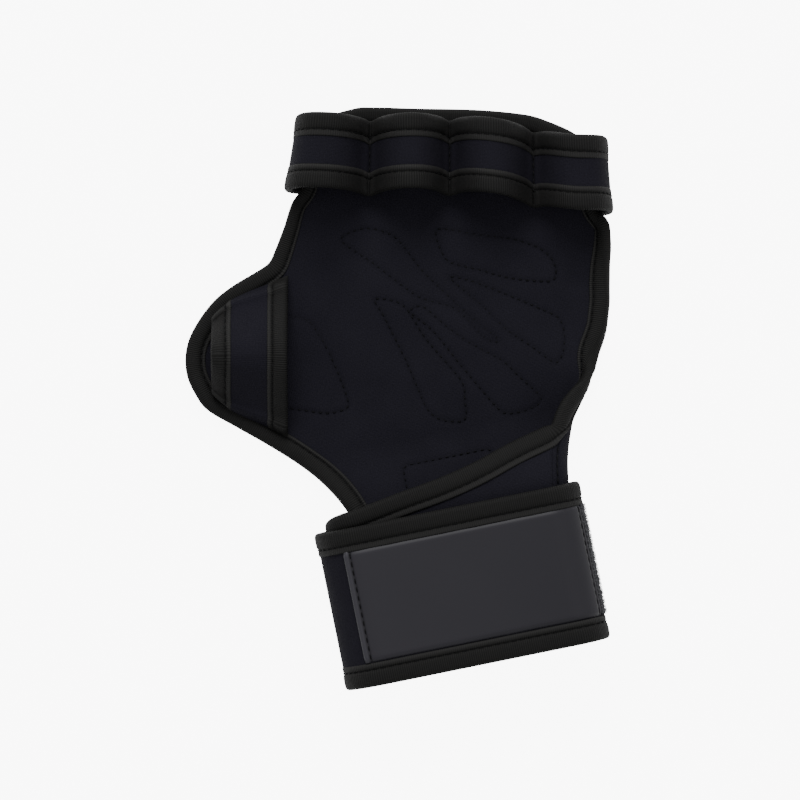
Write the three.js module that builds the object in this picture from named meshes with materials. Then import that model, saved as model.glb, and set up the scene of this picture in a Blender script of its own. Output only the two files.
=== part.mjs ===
// A fitness glove with an open back, right hand, lying palm down: a neoprene palm panel with a thumb
// lobe, four finger loops, a thumb band and a strap wound about twice round the wrist, all with
// tape-bound edges. Sheets are flat patterns, in mm, bent into place by a function of their own.
// The strap's frame has X (u) across the wrist and Y (v) along the forearm, with its origin at the
// middle of the strap. The hand's frame is the same turned back by strapTilt, so fingers point to +Y.
import * as THREE from 'three';
import { mergeVertices } from 'three/addons/utils/BufferGeometryUtils.js';

// Driving dimensions, mm
const palmWidth = 110; // across the four fingers
const palmReach = 171; // from the middle of the strap to the panel's finger edge
const strapTilt = 11.5; // degrees between the forearm's line and the fingers'
const strapWidth = 54.8; // over its tapes
const wristSpan = 66.9; // between the centres of the strap's two folds
const wristShare = 0.4797; // of wristSpan that lies on the thumb's side of the strap's middle
const wristOpening = 9; // clear height left for the wrist
const strapSheet = 2; // neoprene of the strap and of the bands
const palmSheet = 2.4; // neoprene of the palm panel
const tapeWall = 0.6; // tape over each face
const tapeEdge = 1; // tape round the cut edge
const tapeWidth = 8; // visible width of a folded tape
const clearance = 0.4; // between a tape and the sheet that it binds
const palmSlack = 0.22; // more of it for the palm panel's tape
const layerGap = 0.4; // between layers of the wrist wrap
const padThickness = 2.2;
const bandWidth = 26; // finger band over its tapes
const bandSpan = 114.4; // finger band from fold to fold
const loopHeight = 15; // of a finger loop's crest over its seams
const crestLean = 1.8; // how far a crest leans towards the finger edge
const endReach = 12.3; // from an end loop's crest out to its fold
const tailLength = 12; // of the finger band tucked under the panel
const tailRise = 16.2; // over which the panel rises to a tail
const thumbBandWidth = 26.4; // over its tapes
const thumbLoopHeight = 10.5;
const patchThickness = 0.8;
const patchStart = 6; // of the patch round the thumb-side fold
const patchWrap = 52; // degrees that the patch runs over the little-finger-side fold
const pileThickness = 0.8;
const pileReach = 55; // of the loop pile under the wrist, from the fold's centre
const hookThickness = 0.6;
const hookLength = 24;
const hookInset = 1; // from the strap's end
const strapEnd = 49; // the free end's length past the thumb-side fold

// Levels of the layers' middles over the surface that the glove lies on
const radian = Math.PI / 180;
const strapHalf = strapSheet / 2;
const palmHalf = palmSheet / 2;
const strapTapeHalf = strapHalf + clearance + tapeWall;
const palmTapeHalf = palmHalf + palmSlack + clearance + tapeWall;
const endLevel = strapTapeHalf;
const underLevel = endLevel + 2 * strapTapeHalf + layerGap;
const palmLevel = padThickness + clearance + palmHalf;
const heelLevel = underLevel + strapTapeHalf + layerGap + palmTapeHalf;
const backLevel = heelLevel + palmTapeHalf + wristOpening + strapTapeHalf;
const outerLevel = backLevel + 2 * strapTapeHalf + layerGap;
const seamLevel = palmLevel + palmTapeHalf + layerGap + strapTapeHalf;

// The strap's folds and edges
const foldLeft = -wristSpan * wristShare;
const foldRight = foldLeft + wristSpan;
const innerFold = (backLevel - underLevel) / 2;
const rightFold = (outerLevel - underLevel) / 2;
const outerFold = (outerLevel - endLevel) / 2;
const heelFold = (backLevel - heelLevel) / 2;
const strapTop = strapWidth / 2;
const strapEdge = strapTop - tapeEdge;
const handReach = palmReach - strapTop;
const liftReach = 27; // of the panel's rise from the palm up to the wrist
const seamReach = 0.142; // of handReach, where the seam ends at the panel's corner

// Little-finger side, where the panel rolls over to the back: where the roll starts, how far it turns
// and its radius
const heelRoll = [
  { reach: 0, across: 0.320, turn: 165, radius: 6.5 },
  { reach: 0.069, across: 0.340, turn: 165, radius: 6.5 },
  { reach: 0.142, across: 0.375, turn: 165, radius: 6.5 },
  { reach: 0.188, across: 0.412, turn: 165, radius: 5.7 },
  { reach: 0.2235, across: 0.463, turn: 160, radius: 4.2 },
  { reach: 0.248, across: 0.491, turn: 130, radius: 3.5 },
  { reach: 0.269, across: 0.511, turn: 92, radius: 3.3 },
  { reach: 0.29, across: 0.532, turn: 56, radius: 3.4 },
  { reach: 0.311, across: 0.556, turn: 30, radius: 3.8 },
  { reach: 0.331, across: 0.583, turn: 12, radius: 4.4 },
  { reach: 0.36, across: 0.610, turn: 3, radius: 5 },
  { reach: 0.393, across: 0.627, turn: 0, radius: 5 },
  { reach: 0.425, across: 0.640, turn: 0, radius: 5 },
];
const seamTurn = heelRoll[0].turn * radian;
const mostTurn = 175 * radian;

// Outline of the panel's hand, as shares of handReach over the strap and of palmWidth
const thumbSide = [
  { reach: 0.075, across: -0.321 },
  { reach: 0.137, across: -0.374 },
  { reach: 0.193, across: -0.441 },
  { reach: 0.249, across: -0.519 },
  { reach: 0.303, across: -0.600 },
  { reach: 0.358, across: -0.680 },
  { reach: 0.399, across: -0.705 },
  { reach: 0.442, across: -0.718 },
  { reach: 0.488, across: -0.712 },
  { reach: 0.530, across: -0.688 },
  { reach: 0.572, across: -0.641 },
  { reach: 0.609, across: -0.582 },
  { reach: 0.634, across: -0.514 },
  { reach: 0.651, across: -0.450 },
  { reach: 0.668, across: -0.396 },
  { reach: 0.697, across: -0.366 },
  { reach: 0.722, across: -0.345 },
  { reach: 0.756, across: -0.318 },
  { reach: 0.785, across: -0.298 },
  { reach: 0.810, across: -0.277 },
  { reach: 0.837, across: -0.238 },
  { reach: 0.875, across: -0.224 },
  { reach: 0.917, across: -0.211 },
  { reach: 0.960, across: -0.178 },
  { reach: 0.982, across: -0.146 },
  { reach: 1.0, across: -0.090 },
];
const littleSide = [
  { reach: 0.497, across: 0.658 },
  { reach: 0.566, across: 0.682 },
  { reach: 0.605, across: 0.688 },
  { reach: 0.640, across: 0.66 },
  { reach: 0.690, across: 0.656 },
  { reach: 0.759, across: 0.670 },
  { reach: 0.798, across: 0.666 },
  { reach: 0.834, across: 0.634 },
  { reach: 0.879, across: 0.553 },
  { reach: 0.900, across: 0.501 },
  { reach: 0.935, across: 0.352 },
  { reach: 0.971, across: 0.145 },
  { reach: 1.0, across: -0.010 },
];

// Upper edge of the strap's first turn, from the thumb-side fold to the seam: shares of that stretch
// and of the seam's height over the strap
const diagonal = [
  { along: 0.0, rise: 0.225 },
  { along: 0.235, rise: 0.372 },
  { along: 0.438, rise: 0.480 },
  { along: 0.615, rise: 0.619 },
  { along: 0.80, rise: 0.822 },
  { along: 0.91, rise: 0.920 },
  { along: 1.0, rise: 1.0 },
];

// Half of a finger loop, from a seam to its crest, as shares of the half loop and of loopHeight
const loopHalf = [
  { along: 0.0, rise: 0.0 },
  { along: 0.20, rise: 0.15 },
  { along: 0.34, rise: 0.40 },
  { along: 0.52, rise: 0.70 },
  { along: 0.75, rise: 0.93 },
  { along: 1.0, rise: 1.0 },
];
// An end loop from its crest round its fold to the tail: shares of endReach and of the crest's height
const loopEnd = [
  { out: 0.35, rise: 0.985 },
  { out: 0.64, rise: 0.90 },
  { out: 0.85, rise: 0.74 },
  { out: 0.97, rise: 0.52 },
  { out: 1.0, rise: 0.32 },
  { out: 0.96, rise: 0.15 },
  { out: 0.84, rise: 0.04 },
  { out: 0.66, rise: 0.0 },
];
// Centre line of the finger band in the hand's frame, as shares of bandSpan and of palmReach
const bandLine = [
  { across: 0.0, reach: 0.883 },
  { across: 0.252, reach: 0.879 },
  { across: 0.498, reach: 0.880 },
  { across: 0.625, reach: 0.870 },
  { across: 0.756, reach: 0.856 },
  { across: 0.88, reach: 0.836 },
  { across: 1.0, reach: 0.838 },
];
const bandSeams = [0.252, 0.498, 0.756]; // of bandSpan
const bandStart = -0.555; // of palmWidth, the band's thumb-side fold from the strap's middle
const bandTaper = [0.18, 0.09]; // lean of its thumb-side and little-finger-side folds

// The thumb band's ends on the panel, in the hand's frame: shares of its width and of palmReach
const thumbEnds = [
  { across: 0.0, top: 0.543, bottom: 0.399 },
  { across: 0.25, top: 0.580, bottom: 0.364 },
  { across: 0.7, top: 0.606, bottom: 0.336 },
  { across: 1.0, top: 0.624, bottom: 0.316 },
];
const thumbStart = -0.797; // of palmWidth, the band's outer edge from the strap's middle
const thumbArch = [
  { along: 0.0, rise: 0.0 },
  { along: 0.08, rise: 0.05 },
  { along: 0.18, rise: 0.30 },
  { along: 0.30, rise: 0.66 },
  { along: 0.41, rise: 0.92 },
  { along: 0.5, rise: 1.0 },
];

// Outlines of the pads on the palm side, in the hand's frame: shares of palmWidth and of palmReach
const pads = {
  grip_pad_1: [
    [-0.386, 0.711], [-0.306, 0.734], [-0.211, 0.715], [-0.118, 0.642], [0.026, 0.555],
    [0.122, 0.503], [0.080, 0.506], [-0.020, 0.569], [-0.135, 0.592], [-0.281, 0.661],
  ],
  grip_pad_2: [
    [-0.078, 0.731], [0.041, 0.722], [0.167, 0.711], [0.256, 0.692], [0.300, 0.663],
    [0.294, 0.626], [0.167, 0.630], [0.065, 0.647], [-0.045, 0.668],
  ],
  grip_pad_3: [
    [-0.036, 0.632], [0.038, 0.624], [0.150, 0.596], [0.236, 0.573], [0.318, 0.546],
    [0.332, 0.496], [0.306, 0.456], [0.220, 0.493], [0.148, 0.524], [0.063, 0.577],
  ],
  grip_pad_4: [
    [-0.163, 0.562], [-0.121, 0.572], [-0.055, 0.536], [0.032, 0.496], [0.130, 0.462],
    [0.183, 0.430], [0.256, 0.385], [0.236, 0.365], [0.167, 0.352], [0.122, 0.360],
    [0.006, 0.446], [-0.087, 0.520],
  ],
  grip_pad_5: [
    [-0.277, 0.588], [-0.186, 0.575], [-0.112, 0.505], [0.000, 0.420], [0.012, 0.382],
    [0.012, 0.338], [-0.060, 0.338], [-0.110, 0.362], [-0.170, 0.451], [-0.246, 0.550],
  ],
  thumb_pad: [
    [-0.620, 0.548], [-0.500, 0.546], [-0.452, 0.510], [-0.410, 0.458], [-0.375, 0.402],
    [-0.363, 0.365], [-0.422, 0.352], [-0.500, 0.358], [-0.620, 0.375], [-0.640, 0.460],
  ],
};
// The heel pad, in the strap's frame, under the panel's rise
const heelPad = { left: -12, right: 20, bottom: 1.8, top: 17 }; // mm, heights over the strap

// Colours and finishes
const finish = (color, roughness) => new THREE.MeshStandardMaterial({ color, roughness, metalness: 0 });
const neoprene = 0x141419;
const tape = 0x19191a;
const patchRubber = 0x2d2c31;
const pile = 0x6e6e72;
const padLeather = 0x1a1a1c;

function spread(from, to, parts) {
  return Array.from({ length: parts + 1 }, (_, part) => from + (to - from) * part / parts);
}

const smooth = (share) => {
  const held = Math.min(1, Math.max(0, share));
  return held * held * (3 - 2 * held);
};

// A value read from a table on a smooth curve through its rows
function along(table, key, value, at) {
  const last = table.length - 1;
  let row = 0;
  while (row < last - 1 && table[row + 1][key] < at) row += 1;
  const slope = (index) => {
    const low = table[Math.max(0, index - 1)];
    const high = table[Math.min(last, index + 1)];
    return (high[value] - low[value]) / (high[key] - low[key]);
  };
  const from = table[row];
  const to = table[row + 1];
  const width = to[key] - from[key];
  const share = Math.min(1, Math.max(0, (at - from[key]) / width));
  const shape = new THREE.Vector2(share * share, share * share * share);
  return from[value] * (1 - 3 * shape.x + 2 * shape.y)
    + slope(row) * width * (share - 2 * shape.x + shape.y)
    + to[value] * (3 * shape.x - 2 * shape.y)
    + slope(row + 1) * width * (shape.y - shape.x);
}

// A straight reading of the same kind, for outlines
function between(table, key, value, at) {
  let row = 0;
  while (row < table.length - 2 && table[row + 1][key] < at) row += 1;
  const share = (at - table[row][key]) / (table[row + 1][key] - table[row][key]);
  return THREE.MathUtils.lerp(table[row][value], table[row + 1][value], Math.min(1, Math.max(0, share)));
}

// The palm panel's bend, from its flat pattern in the strap's frame
const tilt = strapTilt * radian;
const toHand = (u, v) => [u * Math.cos(tilt) - v * Math.sin(tilt), v * Math.cos(tilt) + u * Math.sin(tilt)];

const rollReach = (v) => (v - strapTop) / handReach;
const wristRoll = foldRight - 3 * clearance;
function rollStart(v) {
  const reach = rollReach(v);
  if (reach <= 0) return wristRoll;
  const fitted = wristRoll - heelRoll[0].across * palmWidth;
  return along(heelRoll, 'reach', 'across', reach) * palmWidth + fitted * (1 - smooth(reach / seamReach));
}
function rollSize(v) {
  const shrink = along(heelRoll, 'reach', 'radius', Math.max(0, rollReach(v))) / heelRoll[0].radius;
  return heelFold * shrink;
}
const rollTurn = (v) => {
  const reach = rollReach(v);
  return reach < seamReach ? seamTurn : between(heelRoll, 'reach', 'turn', reach) * radian;
};

const bandLeft = bandStart * palmWidth;
const bandMiddle = bandLeft + bandSpan / 2;
const tailLift = 2 * strapTapeHalf + clearance + palmTapeHalf - palmLevel;

// The rise of the panel up to the wrist, and over the finger band's two tucked tails
const wristLift = (v) => (heelLevel - palmLevel) * (1 - smooth((v - strapTop) / liftReach));
function bandLift(u, v) {
  const [x, y] = toHand(u, v);
  const line = bandHeight((x - bandLeft) / bandSpan);
  const inBand = 1 - smooth((Math.abs(y - line) - bandWidth / 2) / bandWidth);
  const fromFold = bandSpan / 2 - Math.abs(x - bandMiddle);
  return tailLift * inBand * (1 - smooth((fromFold - tailLength - strapTapeHalf) / tailRise));
}
function bandHeight(share) {
  const held = Math.min(1, Math.max(0, share));
  return along(bandLine, 'across', 'reach', held) * palmReach;
}

function bendPalm(u, v) {
  const level = palmLevel + wristLift(v) + bandLift(u, v);
  const start = rollStart(v);
  const radius = rollSize(v);
  const past = u - start;
  if (past <= 0) return new THREE.Vector3(u, v, level);
  const turn = Math.min(past / radius, mostTurn);
  const rest = past - turn * radius;
  const outward = radius * Math.sin(turn) + rest * Math.cos(turn);
  const rise = radius * (1 - Math.cos(turn)) + rest * Math.sin(turn);
  // The roll turns square to its own line, which slants across the pattern
  const slope = rollStart(v + 1) - rollStart(v - 1);
  const square = Math.hypot(2, slope);
  return new THREE.Vector3(start + outward * 2 / square, v - outward * slope / square, level + rise);
}

// The strap's bend: s runs along the strap from its first thumb-side fold, v along the forearm
const foldEnd = Math.PI * innerFold;
const underEnd = foldEnd + wristSpan;
const sideEnd = underEnd + Math.PI * rightFold;
const backEnd = sideEnd + wristSpan;
const lastFoldEnd = backEnd + Math.PI * outerFold;
const strapLength = lastFoldEnd + strapEnd;

function bendStrap(s, v) {
  if (s < 0) {
    const drop = wristLift(strapTop) - wristLift(Math.max(v, strapTop));
    return new THREE.Vector3(foldLeft - s, v, backLevel - drop * smooth(-s / wristSpan));
  }
  if (s < foldEnd) {
    const turn = s / innerFold;
    const middle = (backLevel + underLevel) / 2;
    return new THREE.Vector3(foldLeft - innerFold * Math.sin(turn), v, middle + innerFold * Math.cos(turn));
  }
  if (s < underEnd) return new THREE.Vector3(foldLeft + s - foldEnd, v, underLevel);
  if (s < sideEnd) {
    const turn = (s - underEnd) / rightFold;
    const middle = (outerLevel + underLevel) / 2;
    const u = foldRight + rightFold * Math.sin(turn);
    return new THREE.Vector3(u, v, middle - rightFold * Math.cos(turn));
  }
  if (s < backEnd) return new THREE.Vector3(foldRight - (s - sideEnd), v, outerLevel);
  if (s < lastFoldEnd) {
    const turn = (s - backEnd) / outerFold;
    const middle = (outerLevel + endLevel) / 2;
    return new THREE.Vector3(foldLeft - outerFold * Math.sin(turn), v, middle + outerFold * Math.cos(turn));
  }
  return new THREE.Vector3(foldLeft + s - lastFoldEnd, v, endLevel);
}

// The seam where the strap's first turn meets the panel's rolled edge
const seamTop = strapTop + seamReach * handReach;
const seamStart = (v) => rollStart(v) + (rollSize(v) - palmTapeHalf) * Math.sin(seamTurn) - 2 * layerGap;
const strapStart = (v) => foldLeft - seamStart(v);

function strapUpper(s) {
  if (s >= foldEnd) return strapEdge;
  if (s >= 0) {
    const low = diagonal[0].rise * (seamTop - strapTop) + strapTop;
    return THREE.MathUtils.lerp(low, strapEdge, smooth(s / foldEnd));
  }
  const share = Math.min(1, s / strapStart(seamTop));
  return strapTop + along(diagonal, 'along', 'rise', share) * (seamTop - strapTop);
}

// The finger band's bend: s is a place along its profile, b the distance across it
const crestLevel = seamLevel + loopHeight;
const bandProfile = [];
function addEndLoop(side, seam) {
  const crest = side < 0 ? endReach : bandSpan - endReach;
  const reach = endReach - strapTapeHalf;
  const outward = loopEnd.map((row) => [
    crest + side * row.out * reach,
    endLevel + row.rise * (crestLevel - endLevel),
  ]);
  const tail = [crest + side * (endReach - strapTapeHalf - tailLength), endLevel];
  const inward = loopHalf.map((row) => [
    THREE.MathUtils.lerp(seam * bandSpan, crest, row.along),
    seamLevel + row.rise * loopHeight,
  ]);
  return [tail, ...outward.reverse(), ...inward.reverse()];
}
const seamPlaces = bandSeams.map((share) => share * bandSpan);
bandProfile.push(...addEndLoop(-1, bandSeams[0]));
for (let loop = 0; loop < seamPlaces.length - 1; loop += 1) {
  const [from, to] = seamPlaces.slice(loop, loop + 2);
  const middle = (from + to) / 2;
  const point = (seam, row) => [
    THREE.MathUtils.lerp(seam, middle, row.along),
    seamLevel + row.rise * loopHeight,
  ];
  bandProfile.push(...loopHalf.slice(1).map((row) => point(from, row)));
  bandProfile.push(...loopHalf.slice(0, -1).reverse().map((row) => point(to, row)));
}
bandProfile.push(...addEndLoop(1, bandSeams.at(-1)).reverse().slice(1));

// Its length up to each point of the profile
const bandPlaces = [0];
for (let point = 1; point < bandProfile.length; point += 1) {
  const [x0, z0] = bandProfile[point - 1];
  const [x1, z1] = bandProfile[point];
  bandPlaces.push(bandPlaces[point - 1] + Math.hypot(x1 - x0, z1 - z0));
}

function bendBand(s, b) {
  let point = 0;
  while (point < bandPlaces.length - 2 && bandPlaces[point + 1] < s) point += 1;
  const share = (s - bandPlaces[point]) / (bandPlaces[point + 1] - bandPlaces[point]);
  const x = THREE.MathUtils.lerp(bandProfile[point][0], bandProfile[point + 1][0], share);
  const z = THREE.MathUtils.lerp(bandProfile[point][1], bandProfile[point + 1][1], share);
  const fromMiddle = x / bandSpan - 0.5;
  const lean = crestLean * (z - endLevel) / (crestLevel - endLevel);
  const slant = bandTaper[fromMiddle < 0 ? 0 : 1] * (2 * fromMiddle) ** 3;
  return new THREE.Vector3(bandLeft + x - slant * b, bandHeight(x / bandSpan) + b + lean, z);
}

// The thumb band's bend: a runs from its upper end to its lower one, b from its outer edge inward
const thumbLeft = thumbStart * palmWidth;
function thumbEnd(b, end) {
  const across = Math.min(1, Math.max(0, b / thumbBandWidth));
  return along(thumbEnds, 'across', end, across) * palmReach;
}
const thumbSpan = thumbEnd(thumbBandWidth / 2, 'top') - thumbEnd(thumbBandWidth / 2, 'bottom');

function bendThumb(a, b) {
  const share = a / thumbSpan;
  const y = THREE.MathUtils.lerp(thumbEnd(b, 'top'), thumbEnd(b, 'bottom'), share);
  const rise = along(thumbArch, 'along', 'rise', Math.min(share, 1 - share));
  return new THREE.Vector3(thumbLeft + b, y, seamLevel + rise * thumbLoopHeight);
}

// A point at a height over a bent sheet's middle, measured along the sheet's normal
const normalStep = 0.4; // mm
function raise(bend, a, b, height, side = 1) {
  const here = bend(a, b);
  const alongA = bend(a + normalStep, b).sub(bend(a - normalStep, b));
  const alongB = bend(a, b + normalStep).sub(bend(a, b - normalStep));
  return here.addScaledVector(alongA.cross(alongB).normalize(), height * side);
}

// A closed body from a list of points and of triangles over them, with its faces turned outward
function solid(points, faces) {
  const geometry = new THREE.BufferGeometry();
  const places = points.flatMap((point) => [point.x, point.y, point.z]);
  geometry.setAttribute('position', new THREE.Float32BufferAttribute(places, 3));
  let volume = 0;
  for (const [a, b, c] of faces) {
    volume += points[a].dot(new THREE.Vector3().crossVectors(points[b], points[c]));
  }
  const turned = volume < 0 ? faces.map(([a, b, c]) => [a, c, b]) : faces;
  geometry.setIndex(turned.flat());
  geometry.computeVertexNormals();
  return mergeVertices(geometry);
}

// A sheet of cloth: a grid of pattern points, bent, between two heights
function sheet(bend, grid, low, high, side = 1) {
  const rows = grid.length;
  const columns = grid[0].length;
  const layer = (height) => grid.flat().map(([a, b]) => raise(bend, a, b, height, side));
  const points = [...layer(low), ...layer(high)];
  const at = (face, row, column) => (face * rows + row) * columns + column;
  const faces = [];
  const quad = (a, b, c, d) => faces.push([a, b, c], [a, c, d]);
  for (let row = 0; row < rows - 1; row += 1) {
    for (let column = 0; column < columns - 1; column += 1) {
      for (const face of [0, 1]) {
        const corners = [[row, column], [row, column + 1], [row + 1, column + 1], [row + 1, column]];
        const [a, b, c, d] = corners.map(([r, k]) => at(face, r, k));
        if (face) quad(a, b, c, d);
        else quad(a, d, c, b);
      }
    }
  }
  for (let column = 0; column < columns - 1; column += 1) {
    const next = column + 1;
    const end = rows - 1;
    quad(at(0, 0, column), at(0, 0, next), at(1, 0, next), at(1, 0, column));
    quad(at(0, end, column), at(1, end, column), at(1, end, next), at(0, end, next));
  }
  for (let row = 0; row < rows - 1; row += 1) {
    const next = row + 1;
    const end = columns - 1;
    quad(at(0, row, 0), at(1, row, 0), at(1, next, 0), at(0, next, 0));
    quad(at(0, row, end), at(0, next, end), at(1, next, end), at(1, row, end));
  }
  return solid(points, faces);
}

// A folded tape's section: depth in from the sheet's cut edge, height over its middle, with more
// steps in its walls where the sheet curves across its edge. Its outer corners are eased.
const outerEase = 0.85;
const innerEase = 0.95;
function tapeSection(half, steps) {
  const inner = half + clearance;
  const outer = inner + tapeWall;
  const lip = tapeWidth - tapeEdge;
  const depths = spread(lip, -clearance, steps).slice(0, -1);
  const upper = [...depths.map((depth) => [depth, outer]), [-tapeEdge, outer * outerEase]];
  const channel = [...depths.map((depth) => [depth, inner]), [-clearance, inner * innerEase]];
  const under = (points) => points.map(([depth, height]) => [depth, -height]);
  return [...upper, ...under(upper).reverse(), ...under(channel), ...channel.reverse()];
}

// A tape swept along a sheet's pattern edge; the inside of the sheet is on the edge's left
function tapeAlong(bend, edge, half, side = 1, steps = 2) {
  const section = tapeSection(half, steps);
  const points = edge.flatMap(([a, b], place) => {
    const [a0, b0] = edge[Math.max(0, place - 1)];
    const [a1, b1] = edge[Math.min(edge.length - 1, place + 1)];
    const run = Math.hypot(a1 - a0, b1 - b0);
    const inA = -(b1 - b0) / run;
    const inB = (a1 - a0) / run;
    return section.map(([depth, height]) => raise(bend, a + inA * depth, b + inB * depth, height, side));
  });
  // The wall's outer and inner faces are split along the same diagonal, so that they stay apart
  // where the tape twists
  const count = section.length;
  const faces = [];
  for (let place = 0; place < edge.length - 1; place += 1) {
    for (let corner = 0; corner < count; corner += 1) {
      const next = (corner + 1) % count;
      const [a, b] = [place * count + corner, place * count + next];
      if (corner < count / 2) faces.push([a, b, a + count], [b, b + count, a + count]);
      else faces.push([a, b, b + count], [a, b + count, a + count]);
    }
  }
  // Both ends close with a strip of faces between the section's outer and inner points
  const last = (edge.length - 1) * count;
  for (let corner = 0; corner < count / 2 - 1; corner += 1) {
    const strip = [corner, corner + 1, count - 2 - corner, count - 1 - corner];
    const [a, b, c, d] = strip;
    faces.push([a, c, b], [a, d, c]);
    faces.push([last + a, last + b, last + c], [last + a, last + c, last + d]);
  }
  return solid(points, faces);
}

const glove = new THREE.Group();
const hand = new THREE.Group();
glove.add(hand);
hand.rotation.z = -tilt;

function add(name, geometry, color, roughness, parent = glove) {
  const mesh = new THREE.Mesh(geometry, finish(color, roughness));
  mesh.name = name;
  parent.add(mesh);
}

// The palm panel's outline in the strap's frame: rows up the forearm and the hand
const wristInset = 6; // of the panel's edge inside the strap's fold
const cornerSize = 10;
const wristEdge = foldLeft - innerFold + strapTapeHalf + tapeEdge + wristInset;
const cornerRows = [0, 0.1, 0.35, 1].map((share) => share * cornerSize - strapEdge);
const wristRows = [...cornerRows, -0.22 * strapTop, 0.33 * strapTop, strapTop - 3, strapTop + 3];
const reachRow = (row) => ({ v: strapTop + row.reach * handReach, u: row.across * palmWidth });
const thumbChain = [
  ...wristRows.map((v) => {
    const up = Math.min(1, (v + strapEdge) / cornerSize);
    return { v, u: wristEdge + cornerSize * (1 - Math.sqrt(1 - (1 - up) ** 2)) };
  }),
  ...thumbSide.map(reachRow),
];
const rolledEdge = (v) => rollStart(v) + rollSize(v) * rollTurn(v);
const littleChain = [
  ...wristRows.map((v) => ({ v, u: rolledEdge(v) })),
  ...heelRoll.slice(1).map((row) => {
    const v = strapTop + row.reach * handReach;
    return { v, u: rolledEdge(v) };
  }),
  ...littleSide.map(reachRow),
];
const palmRows = [...new Set([...thumbChain, ...littleChain].map((point) => Math.round(point.v * 10) / 10))]
  .sort((low, high) => low - high)
  .filter((v, row, all) => row === 0 || row === all.length - 1 || v - all[row - 1] > 2);

// Places across one row of the panel, closer together over the roll
function palmColumns(v) {
  const flatColumns = 5;
  const rollColumns = 6;
  const left = between(thumbChain, 'v', 'u', v);
  const right = between(littleChain, 'v', 'u', v);
  const width = right - left;
  const roll = Math.min(Math.max(rollSize(v) * rollTurn(v), tapeWidth), 0.4 * width);
  const flat = spread(left + Math.min(tapeWidth, 0.3 * width), right - roll, flatColumns - 1);
  return [left, ...flat, ...spread(right - roll, right, rollColumns).slice(1)];
}

function addPalm() {
  const grid = palmRows.map((v) => palmColumns(v).map((u) => [u, v]));
  add('palm_panel', sheet(bendPalm, grid, -palmHalf, palmHalf), neoprene, 0.95);

  // One length of tape from the seam's foot along the wrist, the thumb lobe and the fingers, and a
  // second one over the roll to the seam's top
  const joint = palmRows.find((v) => rollTurn(v) === 0);
  const tapeStop = seamTop + tapeEdge + layerGap;
  const side = (chain, places) => places.map((v) => [between(chain, 'v', 'u', v), v]);
  const beyond = [joint + tapeEdge + clearance, ...palmRows.filter((v) => v > joint)].sort((a, b) => b - a);
  const edge = [
    ...palmColumns(-strapEdge).reverse().map((u) => [u, -strapEdge]),
    ...side(thumbChain, palmRows.slice(1)),
    ...side(littleChain, beyond),
  ];
  add('palm_binding', tapeAlong(bendPalm, edge.reverse(), palmHalf + palmSlack, 1, 3), tape, 0.85);
  const rolled = side(littleChain, [tapeStop, ...palmRows.filter((v) => v > tapeStop + 1 && v <= joint)]);
  add('heel_binding', tapeAlong(bendPalm, rolled, palmHalf + palmSlack, 1, 4), tape, 0.85);
}

function addStrap() {
  const backColumns = [0, 0.05, ...spread(0.05, 1, 9).slice(1)];
  const turns = [
    ...spread(0, foldEnd, 9).slice(1),
    ...spread(foldEnd, underEnd, 2).slice(1),
    ...spread(underEnd, sideEnd, 9).slice(1),
    ...spread(sideEnd, backEnd, 2).slice(1),
    ...spread(backEnd, lastFoldEnd, 8).slice(1),
    ...spread(lastFoldEnd, strapLength, 2).slice(1),
  ];
  const levels = (upper) => [-strapEdge, 0, ...spread(strapTop - tapeWidth, upper, 4)];
  const grid = [
    ...backColumns.map((share) => levels(strapUpper(strapStart(seamTop) * (1 - share)))
      .map((v) => [strapStart(v) * (1 - share), v])),
    ...turns.map((s) => levels(strapUpper(s)).map((v) => [s, v])),
  ];
  add('wrist_strap', sheet(bendStrap, grid, -strapHalf, strapHalf, -1), neoprene, 0.95);
  const upper = grid.slice(1).map((column) => column.at(-1));
  const lower = grid.slice(1).map((column) => column[0]);
  add('strap_binding_upper', tapeAlong(bendStrap, upper.reverse(), strapHalf, -1), tape, 0.85);
  add('strap_binding_lower', tapeAlong(bendStrap, lower, strapHalf, -1), tape, 0.85);
}

// Patch, loop pile and hook tab: thin layers on the strap's outer face, within its tapes
function addStrapFittings() {
  const low = strapHalf + clearance;
  const inside = strapTop - tapeWidth - clearance;
  const across = spread(-inside, inside, 3);
  const patchEnd = sideEnd - patchWrap * radian * rightFold;
  const patchColumns = [
    ...spread(patchEnd, sideEnd, 4),
    ...spread(sideEnd, backEnd, 2).slice(1),
    ...spread(backEnd, backEnd + patchStart, 2).slice(1),
  ];
  const layer = (columns, thickness, side) => {
    const grid = columns.map((s) => across.map((v) => [s, v]));
    return sheet(bendStrap, grid, low, low + thickness, side);
  };
  add('strap_patch', layer(patchColumns, patchThickness, -1), patchRubber, 0.5);
  const pileColumns = [
    ...spread(underEnd - pileReach, underEnd, 2),
    ...spread(underEnd, patchEnd - layerGap, 7).slice(1),
  ];
  add('strap_loop_pile', layer(pileColumns, pileThickness, -1), pile, 1);
  const hookColumns = spread(strapLength - hookLength, strapLength - hookInset, 2);
  add('strap_hook_tab', layer(hookColumns, hookThickness, 1), tape, 0.9);
}

function addFingerBand() {
  const half = bandWidth / 2 - tapeEdge;
  const grid = bandPlaces.map((s) => spread(-half, half, 3).map((b) => [s, b]));
  add('finger_band', sheet(bendBand, grid, -strapHalf, strapHalf), neoprene, 0.95, hand);
  const front = bandPlaces.map((s) => [s, half]);
  const rear = bandPlaces.map((s) => [s, -half]);
  add('finger_binding_front', tapeAlong(bendBand, front.reverse(), strapHalf, 1, 1), tape, 0.85, hand);
  add('finger_binding_rear', tapeAlong(bendBand, rear, strapHalf, 1, 1), tape, 0.85, hand);
}

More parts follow.
